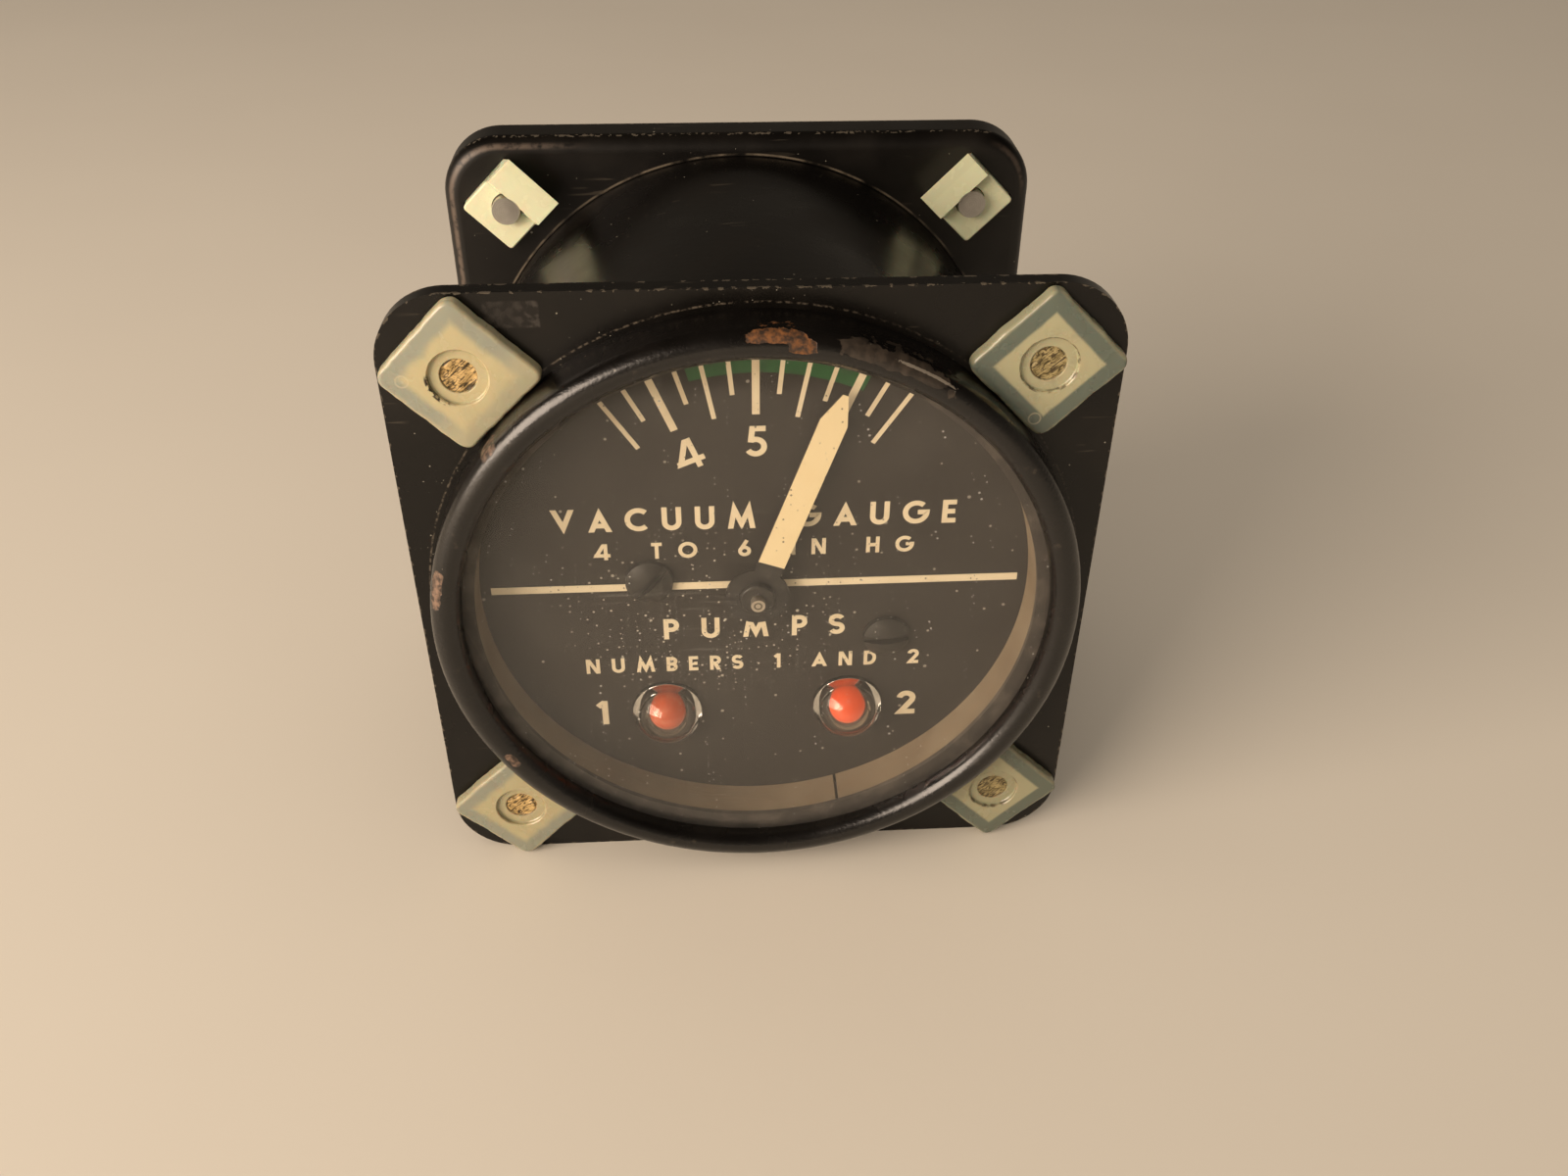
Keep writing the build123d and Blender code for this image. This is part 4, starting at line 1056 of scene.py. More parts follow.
FINISHES = {
    "case_black": CaseEnamel("case_enamel", FLANGE_HALF, 0.0, (0.0, 1.6), gloss=0.22),
    "pan_black": PanEnamel("pan_enamel", PAN_HALF, 11.0, (38.6, 42.1)),
    "cover_black": Enamel("cover_enamel", 28.95, 23.0, (39.6, 41.8), corner=4.95, gloss=0.38, ripple=0.02),
    "bezel_black": BezelEnamel(),
    "window_glass": WindowGlass(),
    "gasket_grey": Rubber("glass_gasket", (0.055, 0.047, 0.040), (0.11, 0.094, 0.078)),
    "seal_black": Rubber("rear_seal", (0.012, 0.011, 0.010), (0.04, 0.036, 0.03)),
    "spacer_tan": FibreStrip(),
    "nut_nylon": Nylon(
        "nylon_front",
        # rim and body are the lit colours of the left nuts; the shaded ones, painted shade, go on the
        # right nuts
        rim=(0.29, 0.30, 0.235),
        shaded_rim=(0.11, 0.133, 0.105),
        body=(0.49, 0.435, 0.255),
        shaded_body=(0.39, 0.37, 0.23),
        shift=0.0,
    ),
    "screw_steel": TurnedMetal("screw_steel", STEEL, STEEL_DULL, SCREW_AXES),
    "port_brass": TurnedMetal("port_brass", BRASS, BRASS_DULL, PORT_AXES),
    "dial_black": DialPaint(),
    "dial_white": Print("dial_cream", (0.82, 0.72, 0.52), (0.71, 0.60, 0.41)),
    "dial_green": Print("dial_green", (0.009, 0.095, 0.020), (0.008, 0.055, 0.014), 3.0),
    "dial_screw_black": BlackMetal("dial_screw_black", shift=2.0),
    "pointer_black": BlackMetal("pointer_black", (0.014, 0.012, 0.011), shift=5.0),
    "pointer_cream": Print("pointer_cream", (0.88, 0.74, 0.46), (0.85, 0.70, 0.42), 6.0, 0.42),
    "movement_brass": Metal("movement_brass", BRASS, BRASS_DULL, 0.28, (0.3, 1.0, 3.0)),
    "movement_steel": Metal("movement_steel", STEEL, STEEL_DULL, 0.25, (1.0, 3.0, 1.0), 2.0),
    "spring_bronze": Metal("spring_bronze", (0.52, 0.34, 0.17), (0.26, 0.15, 0.07), 0.3, shift=4.0),
    "lens_clear": LensPlastic(),
    "plunger_red": SignalPaint(),
    "barrel_metal": Metal(
        "barrel_metal", (0.60, 0.60, 0.58), (0.30, 0.29, 0.26), 0.33, (2.0, 0.3, 2.0), 6.0
    ),
    "tube_copper": Metal(
        "tube_copper", (0.62, 0.29, 0.15), (0.24, 0.12, 0.06), 0.3, (2.0, 0.3, 2.0), 8.0
    ),
}
REAR_NYLON = Nylon(
    "nylon_rear",
    # rim and body are the lit colours of the left nuts; the shaded ones, painted shade, go on the right
    # nuts
    rim=(0.72, 0.73, 0.50),
    shaded_rim=(0.60, 0.62, 0.42),
    body=(0.75, 0.76, 0.53),
    shaded_body=(0.63, 0.65, 0.44),
    shift=9.0,
    marked=False,
)
# the staff end's dark ring at radius 0.32 is painted shade for its dimple
STAFF_STEEL = TurnedMetal("staff_steel", (0.62, 0.56, 0.47), (0.5, 0.44, 0.35), ((0.0, 0.0),), 0.4, 0.32)


# Mesh tools
def rounded_square(angles: np.ndarray, half: float, corner: float) -> np.ndarray:
    """The distance from a rounded square's middle to its outline, for each angle.

    On a flat it is half over the larger of sine and cosine. On a corner it solves the
    circle of that radius about the corner's own centre. With corner equal to half it is a circle.

    Args:
        angles: directions in radians.
        half: half the side.
        corner: the corners' radius.

    Returns:
        One distance for each angle.
    """
    sine, cosine = np.abs(np.sin(angles)), np.abs(np.cos(angles))
    large, small = np.maximum(sine, cosine), np.minimum(sine, cosine)
    flat = half / large
    middle = half - corner
    total = middle * (large + small)
    bend = total + np.sqrt(np.maximum(total**2 - 2 * middle**2 + corner**2, 0.0))
    return np.where(flat * small <= middle, flat, bend)


def even_turn(count: int, crowd: float = 0.0) -> np.ndarray:
    """Angles round a full turn, crowded towards the four corners by the sine of four times the angle."""
    base = np.linspace(0.0, 2 * np.pi, count, endpoint=False)
    return base + crowd / 4 * np.sin(4 * base)


def arc(
    middle: Sequence[float], radius: Sequence[float], start: float, end: float, count: int
) -> np.ndarray:
    """Points on an ellipse: its middle plus the radii times cosine and sine.

    Args:
        middle: its middle.
        radius: its radii along the two axes.
        start: the first point's angle in degrees.
        end: the last point's angle.
        count: how many points.

    Returns:
        Points by 2.
    """
    angles = np.radians(np.linspace(start, end, count))
    first, second = middle[0] + radius[0] * np.cos(angles), middle[1] + radius[1] * np.sin(angles)
    return np.stack([first, second], axis=1)


class Shape:
    """Vertices and faces of one piece, gathered from grids and prisms."""

    def __init__(self) -> None:
        """Starts with nothing."""
        self.points: list[np.ndarray] = []
        self.faces: list[list[int]] = []
        self.count = 0

    def grid(self, points: np.ndarray, wrap_rows: bool = False, wrap_columns: bool = False) -> None:
        """Adds a surface: each cell of the array becomes a four-sided face.

        Args:
            points: rows by columns by 3.
            wrap_rows: joins the last row to the first.
            wrap_columns: joins the last column to the first.
        """
        rows, columns = points.shape[:2]
        row = np.arange(rows if wrap_rows else rows - 1)[:, None]
        column = np.arange(columns if wrap_columns else columns - 1)[None, :]
        after, beside = (row + 1) % rows, (column + 1) % columns
        here, there = row * columns, after * columns
        corners = (here + column, here + beside, there + beside, there + column)
        quads = np.stack([corner.ravel() for corner in corners], axis=1)
        self.faces += (quads + self.count).tolist()
        self.points.append(points.reshape(-1, 3))
        self.count += rows * columns

    def prism(self, low: np.ndarray, high: np.ndarray) -> None:
        """Adds a closed solid between two outlines of the same number of points.

        Args:
            low: points by 3.
            high: the same outline moved.
        """
        count = len(low)
        self.grid(np.stack([low, high]), wrap_columns=True)
        first = self.count - 2 * count
        self.faces.append(list(range(first, first + count)))
        self.faces.append(list(range(first + count, first + 2 * count)))

    def piece(self, name: str, sharp: float = 35.0) -> bpy.types.Object:
        """Makes the mesh object, welded, with its faces turned outwards and smooth up to an angle.

        Args:
            name: the object's name.
            sharp: the angle in degrees past which an edge stays sharp.

        Returns:
            The object, linked to the scene.
        """
        mesh = bpy.data.meshes.new(name)
        mesh.from_pydata((np.concatenate(self.points) * METRE).tolist(), [], self.faces)
        work = bmesh.new()
        work.from_mesh(mesh)
        bmesh.ops.remove_doubles(work, verts=work.verts, dist=2e-7)
        bmesh.ops.dissolve_degenerate(work, edges=work.edges, dist=1e-8)
        bmesh.ops.recalc_face_normals(work, faces=work.faces)
        work.to_mesh(mesh)
        work.free()
        mesh.shade_smooth()
        mesh.set_sharp_from_angle(angle=float(np.radians(sharp)))
        made = bpy.data.objects.new(name, mesh)
        bpy.context.scene.collection.objects.link(made)
        return made


def dress(
    piece: bpy.types.Object, material: bpy.types.Material, body: str, slot: str, *replaced: str
) -> bpy.types.Object:
    """Gives a piece its finish and its body, and reports it.

    Args:
        piece: the finished object.
        material: its material.
        body: the body that it rides on.
        slot: the record's slot that its finish stands for; not used.
        replaced: CAD nodes that it stands for.

    Returns:
        The piece.
    """
    piece.data.materials.append(material)
    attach(piece, body)
    if replaced:
        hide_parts(*replaced)
    LOG.info("%s on %s, %d faces", piece.name, body, len(piece.data.polygons))
    return piece


# Captive nuts
@dataclass
class CaptiveNuts:
    """Four nylon nuts, each with a square pad, a body through the sheet and two legs."""

    name: str
    side: Side
    seat: float
    panel: float
    pad_half: float
    spread: float
    material: bpy.types.Material
    pad_thickness: float = 1.3
    pad_corner: float = 1.0
    pad_round: float = 0.35
    body_half: float = 3.15
    body_corner: float = 0.4
    short_leg: float = 1.4
    long_leg: float = 3.0
    hole: float = 1.5
    recess: float = 2.4
    recess_depth: float = 0.4
    thread_pitch: float = 0.55
    thread_depth: float = 0.14
    chamfer: float = 0.12
    recess_edge: float = 0.08
    recess_fillet: float = 0.1
    foot_corner: float = 0.9
    tip_corner: float = 0.3
    bevel_angle: float = 55.0
    flash_waves: tuple[int, ...] = (3, 7, 13, 29)
    flash_depths: tuple[float, ...] = (0.04, 0.028, 0.022, 0.018)
    seed: int = 41
    columns: int = 112

    def outline(self) -> tuple[np.ndarray, np.ndarray, np.ndarray]:
        """The nut's section as half side, corner radius and height above the sheet.

        Returns:
            Three arrays, from the hole's inner end round the pad and the body and back.
        """
        top = self.pad_thickness
        floor = top - self.recess_depth
        back = -(self.panel + self.short_leg)
        turn = np.radians(np.linspace(90.0, 0.0, 7))
        bead_half = self.pad_half - self.pad_round + self.pad_round * np.cos(turn)
        bead_corner = self.pad_corner - self.pad_round + self.pad_round * np.cos(turn)
        bead_height = top - self.pad_round + self.pad_round * np.sin(turn)
        start, wall = self.hole + self.chamfer, self.recess
        ring = np.array([start, wall - self.recess_fillet, wall, wall, wall + self.recess_edge])
        ring_height = np.array([floor, floor, floor + self.recess_fillet, top - self.recess_edge, top])
        pad_row = [self.pad_half, self.pad_half - self.chamfer]
        body_row = [self.body_half, self.body_half, self.body_half - self.chamfer]
        corner_row = [self.pad_corner, self.foot_corner, *[self.body_corner] * 2, self.tip_corner]
        half = np.concatenate([ring, bead_half, pad_row, body_row])
        corner = np.concatenate([ring, bead_corner, corner_row])
        height_row = [self.chamfer, 0.0, 0.0, back + self.chamfer, back]
        height = np.concatenate([ring_height, bead_height, height_row])
        return half, corner, height

    def bore(self, angles: np.ndarray) -> tuple[np.ndarray, np.ndarray]:
        """The threaded hole: its radius falls by a triangle wave of height over pitch plus angle.

        Args:
            angles: directions in radians.

        Returns:
            Radius and height, rows by angles, from the inner end outwards.
        """
        low, high = -(self.panel + self.short_leg), self.pad_thickness - self.recess_depth
        height = np.linspace(low, high, 56)[:, None] + np.zeros((1, len(angles)))
        phase = (height / self.thread_pitch + angles[None, :] / (2 * np.pi)) % 1.0
        ridge = 1.0 - np.abs(2 * phase - 1.0)
        fade = np.clip(np.minimum(height - low, high - height) / 0.25, 0.0, 1.0)
        return self.hole - self.thread_depth * ridge * fade, height

    def leg(
        self, centre: np.ndarray, along: np.ndarray, across: np.ndarray
    ) -> tuple[np.ndarray, np.ndarray]:
        """The long leg's outline at the sheet and at its end.

        It is a half square with the hole's half circle cut out. The end is spread away from
        the hole, and the cut stays round the nut's own axis: its points lie on the half circle
        or on the spread leg's inner face, whichever is further out.

        Args:
            centre: the nut's axis.
            along: direction to the leg.
            across: direction beside it.

        Returns:
            The outline at the start and at the end.
        """
        hollow = arc((0.0, 0.0), (self.hole, self.hole), 90.0, -90.0, 17)
        half = self.body_half
        square = np.array([[0.0, -half], [half, -half], [half, half], [0.0, half]])
        sides = []
        for reach, shift in ((self.panel, 0.0), (self.panel + self.long_leg, self.spread)):
            inner = np.stack([np.maximum(hollow[:, 0], shift), hollow[:, 1]], axis=1)
            flat = np.concatenate([inner, square + np.array([shift, 0.0])])
            place = centre + flat[:, :1] * along + flat[:, 1:] * across
            depth = self.seat - self.side.value * reach
            sides.append(place + np.array([0.0, depth, 0.0]))
        return sides[0], sides[1]

    def build(self, replaced: str, slot: str) -> None:
        """Makes the four nuts as one piece.

        Args:
            replaced: the CAD node that they stand for.
            slot: the record's slot of their finish.
        """
        shape = Shape()
        draw = np.random.default_rng(self.seed)
        waves, depths = np.array(self.flash_waves)[:, None], np.array(self.flash_depths)[:, None]
        angles = even_turn(self.columns, 0.8)
        half, corner, height = self.outline()
        rough_rows = (half >= self.pad_half - self.pad_round)[:, None]
        reach = np.stack([rounded_square(angles, h, c) for h, c in zip(half, corner)])
        level = np.repeat(height[:, None], len(angles), axis=1)
        bore_reach, bore_level = self.bore(angles)
        level = np.concatenate([bore_level, level])
        diagonal = float(np.sqrt(0.5))
        for right in (-1, 1):
            for up in (-1, 1):
                centre = np.array([right * CORNER_REACH, 0.0, up * CORNER_REACH])
                along = np.array([-right, 0.0, up]) * diagonal
                across = np.array([up, 0.0, right]) * diagonal
                starts = draw.uniform(0.0, 2 * np.pi, (len(waves), 1))
                flash = (np.sin(waves * angles + starts) * depths).sum(0)
                rows = np.concatenate([bore_reach, reach + rough_rows * flash])
                forward, beside = rows * np.cos(angles), rows * np.sin(angles)
                flat = forward[..., None] * along + beside[..., None] * across
                depth = self.seat + self.side.value * level
                shape.grid(centre + flat + depth[..., None] * np.array([0.0, 1.0, 0.0]), True, True)
                shape.prism(*self.leg(centre, along, across))
        piece = shape.piece(self.name)
        bevel = piece.modifiers.new("soft_edges", "BEVEL")
        bevel.width, bevel.segments = self.chamfer * METRE, 2
        bevel.limit_method, bevel.angle_limit = "ANGLE", float(np.radians(self.bevel_angle))
        dress(piece, self.material, "housing", slot, replaced)


@dataclass
class HoleGrime:
    """Rough dirt and thread ends that fill the front nuts' holes."""

    radius: float = 1.44
    top: float = 0.74
    thickness: float = 0.35
    roughness: float = 0.06
    waves: int = 12
    seed: int = 17
    rings: int = 22
    columns: int = 60

    def material(self) -> bpy.types.Material:
        """Olive brown fibres with dark strokes between them, their pale colour darkened in the right nuts
        as painted shade.

        Returns:
            The material.
        """
        board = Board("hole_grime")
        fibres = board.threads(1.3, 0.13, 42.0, 2.0)
        crossed = board.threads(0.8, 0.11, -20.0, 5.0)
        cloud = board.noise(0.9, 3.0, 5.0)
        # painted shade: the fibres' pale colour is darker in the right nuts
        right = board.between(board.x, -5.0, 5.0)
        pale = board.blend(right, (0.56, 0.38, 0.15), (0.34, 0.27, 0.12))
        colour = board.blend(board.between(fibres, 0.42, 0.52), (0.05, 0.032, 0.010), pale)
        colour = board.blend(board.between(crossed, 0.56, 0.62) * 0.7, colour, (0.06, 0.04, 0.014))
        colour = board.blend(board.between(cloud, 0.5, 0.7) * 0.45, colour, pale)
        return board.done(board.principled(colour, 0.5, board.bump(fibres, 0.04)))

    def build(self) -> None:
        """Makes four crumpled discs.

        Each is a flat disc whose front is raised by a sum of sine waves that run in
        drawn directions, faded to nothing at its rim.
        """
        draw = np.random.default_rng(self.seed)
        shape = Shape()
        radius = np.linspace(0.0, self.radius, self.rings)[:, None]
        angles = even_turn(self.columns)[None, :]
        x, z = radius * np.cos(angles), radius * np.sin(angles)
        fade = np.clip((self.radius - radius) / 0.2, 0.0, 1.0)
        for axis_x, axis_z in SCREW_AXES:
            turns = draw.uniform(0.0, np.pi, self.waves)
            waves = draw.uniform(3.0, 8.0, self.waves)
            starts = draw.uniform(0.0, 2 * np.pi, self.waves)
            relief = sum(
                np.sin(wave * (x * np.cos(turn) + z * np.sin(turn)) + start)
                for turn, wave, start in zip(turns, waves, starts)
            )
            front = -self.top - self.roughness * relief * fade / 2.0
            back = np.full_like(front, self.thickness - self.top)
            sides = [np.stack([x + axis_x, level, z + axis_z], axis=2) for level in (front, back)]
            shape.grid(np.concatenate([sides[0], sides[1][::-1]]), wrap_columns=True)
        dress(shape.piece("hole_grime", 60.0), self.material(), "housing", "nut_nylon")


# Dial print
def ribbon(path: np.ndarray, width: float, closed: bool = False, level_ends: bool = False) -> np.ndarray:
    """The two edges of a stroke of even width, mitred at each turn.

    Each point moves out along the sum of its two neighbours' normals, divided by one plus
    their dot product, by half the width. A level end is cut along the letter's baseline.

    Args:
        path: points by 2.
        width: the stroke's width.
        closed: joins the last point to the first.
        level_ends: cuts both ends level instead of square.

    Returns:
        Two rows of points by 2, the left edge and the right edge.
    """
    step = np.roll(path, -1, axis=0) - path
    step /= np.linalg.norm(step, axis=1, keepdims=True)
    normal = np.stack([-step[:, 1], step[:, 0]], axis=1)
    before = np.roll(normal, 1, axis=0)
    if not closed:
        normal[-1] = before[-1]
        before[0] = normal[0]
    mitre = (normal + before) / (1.0 + np.sum(normal * before, axis=1, keepdims=True))
    if level_ends:
        for end in (0, -1):
            mitre[end] = np.array([1.0, 0.0]) / normal[end][0]
    return np.stack([path + mitre * width / 2, path - mitre * width / 2])


Stroke = tuple[np.ndarray, bool, bool]


@dataclass(frozen=True)
class Row:
    """A row of words on the dial: its text, its two sides, its baseline and its cap height."""

    text: str
    left: float
    right: float
    foot: float
    height: float


@dataclass(frozen=True)
class Letters:
    """Plain wide sans letters and figures of cap height 1, built of strokes of even width."""

    weight: float = 0.2
    relief: float = 0.045
    step: float = 0.004

    def glyph(self, sign: str) -> tuple[float, list[Stroke]]:
        """A sign's width and its strokes, each a path with whether it is closed and cut level.

        Args:
            sign: one letter or figure.

        Returns:
            The width and the strokes.
        """
        w = self.weight / 2
        top, mid, low = 1 - w, 0.5, w
        fan = w / np.sin(np.arctan(0.36))
        ring = 0.5 - w

        def line(*points: tuple[float, float], closed: bool = False, level: bool = False) -> Stroke:
            """A straight-sided path."""
            return np.array(points, dtype=float), closed, level

        def curve(*parts: Sequence, closed: bool = False) -> Stroke:
            """A path of arcs and points end to end."""
            return np.concatenate([np.atleast_2d(part) for part in parts]), closed, False

        stem = line((w, 0), (w, 1))
        if sign == "V":
            return 0.84, [line((0.09, 1), (0.42, fan * 0.72), (0.75, 1), level=True)]
        if sign == "A":
            bar = line((0.20, 0.27), (0.64, 0.27))
            return 0.84, [line((0.09, 0), (0.42, 1 - fan * 0.72), (0.75, 0), level=True), bar]
        if sign == "C":
            return 0.86, [curve(arc((0.5, 0.5), (ring, ring), 48, 312, 33))]
        if sign == "G":
            turn = arc((0.5, 0.5), (ring, ring), 48, 360, 37)
            return 0.98, [curve(turn, (0.56, 0.5))]
        if sign == "O":
            return 1.0, [curve(arc((0.5, 0.5), (ring, ring), 0, 350, 36), closed=True)]
        if sign == "U":
            bowl = arc((0.36, 0.36), (0.36 - w, 0.36 - w), 180, 360, 17)
            return 0.72, [curve((w, 1.0), bowl, (0.72 - w, 1.0))]
        if sign == "M":
            peak = 1 - w * 1.6
            legs = line((0.09, 0), (0.235, peak), (0.5, 0.2), (0.765, peak), (0.91, 0), level=True)
            return 1.0, [legs]
        if sign == "E":
            frame_path = line((0.52, top), (w, top), (w, low), (0.52, low))
            return 0.52, [frame_path, line((w, mid), (0.48, mid))]
        if sign == "I":
            return 2 * w, [stem]
        if sign == "T":
            return 0.56, [line((0, top), (0.56, top)), line((0.28, top), (0.28, 0))]
        if sign == "H":
            return 0.7, [stem, line((0.7 - w, 0), (0.7 - w, 1)), line((w, mid), (0.7 - w, mid))]
        if sign == "N":
            slope = line((w * 1.25, 1), (0.76 - w * 1.25, 0), level=True)
            return 0.76, [stem, line((0.76 - w, 0), (0.76 - w, 1)), slope]
        if sign in ("P", "R"):
            half = (1 - 2 * w) * 0.27
            bowl = arc((0.3, top - half), (half, half), 90, -90, 15)
            loop = curve((w, top), bowl, (w, top - 2 * half))
            if sign == "P":
                return 0.56, [stem, loop]
            return 0.58, [stem, loop, line((0.26, 0.5), (0.49, 0), level=True)]
        if sign == "B":
            half = (1 - 2 * w) / 4
            bowls = [arc((0.28, 0.5 + side * half), (half * 1.15, half), 90, -90, 15) for side in (1, -1)]
            loops = [curve((w, bowl[0][1]), bowl, (w, bowl[-1][1])) for bowl in bowls]
            return 0.58, [stem, *loops]
        if sign == "D":
            bowl = arc((0.28, 0.5), (0.42 - w, ring), 90, -90, 21)
            return 0.7, [stem, curve((w, top), bowl, (w, low))]
        if sign == "S":
            half = (1 - 2 * w) / 4
            wide = half * 1.12
            upper = arc((0.3, top - half), (wide, half), 28, 270, 21)
            lower = arc((0.3, low + half), (wide, half), 90, -152, 21)[1:]
            return 0.6, [curve(upper, lower)]
        if sign == "1":
            return 0.34, [line((0.34 - w, 0), (0.34 - w, 1)), line((0.02, 0.76), (0.34 - w, 0.95))]
        if sign == "2":
            bowl = arc((0.32, 0.69), (0.32 - w, 0.31 - w), 172, -38, 19)
            return 0.64, [curve(bowl, (0.16, low), (0.64, low))]
        if sign == "4":
            slope = line((0.60, 1), (0.11, 0.27 - w), level=True)
            return 0.90, [slope, line((0.06, 0.27), (0.90, 0.27)), line((0.66, 0), (0.66, 1))]
        if sign == "5":
            bowl = arc((0.31, 0.325), (0.33 - w, 0.325 - w), 122, -150, 23)
            return 0.64, [line((0.60, top), (0.215, top), (0.165, 0.47)), curve(bowl)]
        if sign == "6":
            bowl = arc((0.34, 0.33), (0.34 - w, 0.33 - w), 0, 350, 30)
            return 0.68, [curve(bowl, closed=True), line((0.47, 1.0), (0.135, 0.43))]
        return 0.45, []

    def write(self, shape: Shape, row: Row) -> None:
        """Lays a row of signs between its two sides, spaced to fill it.

        Args:
            shape: gathers the strokes.
            row: the text and its place.
        """
        drawn = [self.glyph(sign) for sign in row.text]
        spare = (row.right - row.left) - sum(width for width, _ in drawn) * row.height
        gap = spare / max(len(row.text) - 1, 1)
        place = row.left
        for width, strokes in drawn:
            self.lay(shape, strokes, np.array([place, row.foot]), row.height, 0.0)
            place += width * row.height + gap

    def figure(self, shape: Shape, sign: str, x: float, z: float, height: float, turn: float) -> None:
        """Lays one sign about its own middle.

        Args:
            shape: gathers the strokes.
            sign: the figure.
            x: its middle.
            z: its middle's height.
            height: its cap height.
            turn: its turn in degrees, clockwise.
        """
        width, strokes = self.glyph(sign)
        angle = np.radians(turn)
        half = np.array([width * height / 2, height / 2])
        spin = np.array([[np.cos(angle), np.sin(angle)], [-np.sin(angle), np.cos(angle)]])
        self.lay(shape, strokes, np.array([x, z]) - spin @ half, height, turn)

    def lay(
        self, shape: Shape, strokes: list[Stroke], corner: np.ndarray, height: float, turn: float
    ) -> None:
        """Adds a sign's strokes as thin solids on the dial, each a little prouder than the one before.

        Args:
            shape: gathers them.
            strokes: paths of cap height 1.
            corner: the sign's lower left corner on the dial.
            height: its cap height.
            turn: its turn in degrees, clockwise.
        """
        angle = np.radians(turn)
        spin = np.array([[np.cos(angle), np.sin(angle)], [-np.sin(angle), np.cos(angle)]])
        for index, (path, closed, level_ends) in enumerate(strokes):
            edges = ribbon(path, self.weight, closed, level_ends) * height @ spin.T + corner
            sheets = []
            for depth in (DIAL_FACE, DIAL_FACE - self.relief - self.step * index):
                level = np.full(edges.shape[:2], depth)
                sheets.append(np.stack([edges[..., 0], level, edges[..., 1]], axis=2))
            loop = np.stack([sheets[0][0], sheets[0][1], sheets[1][1], sheets[1][0]])
            shape.grid(loop, wrap_rows=True, wrap_columns=closed)
            if not closed:
                first = shape.count - loop.shape[0] * loop.shape[1]
                count = loop.shape[1]
                for column in (0, count - 1):
                    shape.faces.append([first + row * count + column for row in range(4)])


@dataclass
class DialPrint:
    """The figures and plain words that are printed on the dial."""

    material: bpy.types.Material
    letters: Letters = field(default_factory=Letters)
    figures: Letters = field(default_factory=lambda: Letters(0.17))
    figure_radius: float = 15.4
    figure_step: float = 22.5
    figure_height: float = 2.95
    rows: tuple[Row, ...] = (
        Row("VACUUM GAUGE", -18.0, 17.8, 6.6, 2.4),
        Row("4 TO 6 IN HG", -14.6, 14.2, 3.6, 1.7),
        Row("PUMPS", -8.7, 8.2, -5.6, 2.35),
        Row("NUMBERS 1 AND 2", -16.2, 15.5, -9.45, 1.7),
    )
    numbers: tuple[tuple[str, float], ...] = (("1", -15.0), ("2", 14.6))
    number_z: float = -14.4

    def build(self) -> None:
        """Makes the scale's figures, the words and the figures by the indicators."""
        scale = Shape()
        for index, sign in enumerate("456"):
            turn = (index - 1) * self.figure_step
            x = self.figure_radius * float(np.sin(np.radians(turn)))
            z = self.figure_radius * float(np.cos(np.radians(turn)))
            self.figures.figure(scale, sign, x, z, self.figure_height, turn)
        dress(scale.piece("scale_figures"), self.material, "housing", "dial_white")
        words = Shape()
        for row in self.rows:
            self.letters.write(words, row)
        dress(words.piece("dial_words"), self.material, "housing", "dial_white")
        numbers = Shape()
        for sign, x in self.numbers:
            self.letters.figure(numbers, sign, x, self.number_z, self.figure_height, 0.0)
        dress(numbers.piece("indicator_figures"), self.material, "housing", "dial_white")


# Indicator domes
@dataclass
class IndicatorDomes:
    """The clear domes over the plungers, each a thick half ball with a tube through the dial."""

    material: bpy.types.Material
    radius: float = 3.4
    tube: float = 2.65
    bore: float = 2.15
    bore_middle: float = 1.6
    dial_back: float = 2.8
    columns: int = 96

    def build(self) -> None:
        """Makes both domes.

        The profile is a quarter circle of the outer radius about the dial's face, the tube
        to the dial's back, and a quarter circle of the bore about a middle a little further
        forward. It is turned about the indicator's axis.
        """
        quarter = np.radians(np.linspace(0.0, 90.0, 28))
        sine, cosine = np.sin(quarter), np.cos(quarter)
        outer = np.stack([self.radius * sine, DIAL_FACE - self.radius * cosine], axis=1)
        inner = np.stack([self.bore * sine, self.bore_middle - self.bore * cosine], axis=1)
        tube = [(self.tube, DIAL_FACE), (self.tube, self.dial_back), (self.bore, self.dial_back)]
        profile = np.concatenate([outer, tube, inner[::-1]])
        reach, depth = profile[:, :1], profile[:, 1:]
        angles = even_turn(self.columns)[None, :]
        shape = Shape()
        for side in (-1, 1):
            x = side * INDICATOR_X + reach * np.sin(angles)
            z = INDICATOR_Z + reach * np.cos(angles)
            shape.grid(np.stack([x, depth + 0.0 * angles, z], axis=2), wrap_columns=True)
        replaced = ("left_indicator_lens", "right_indicator_lens")
        dress(shape.piece("indicator_domes", 50.0), self.material, "housing", "lens_clear", *replaced)


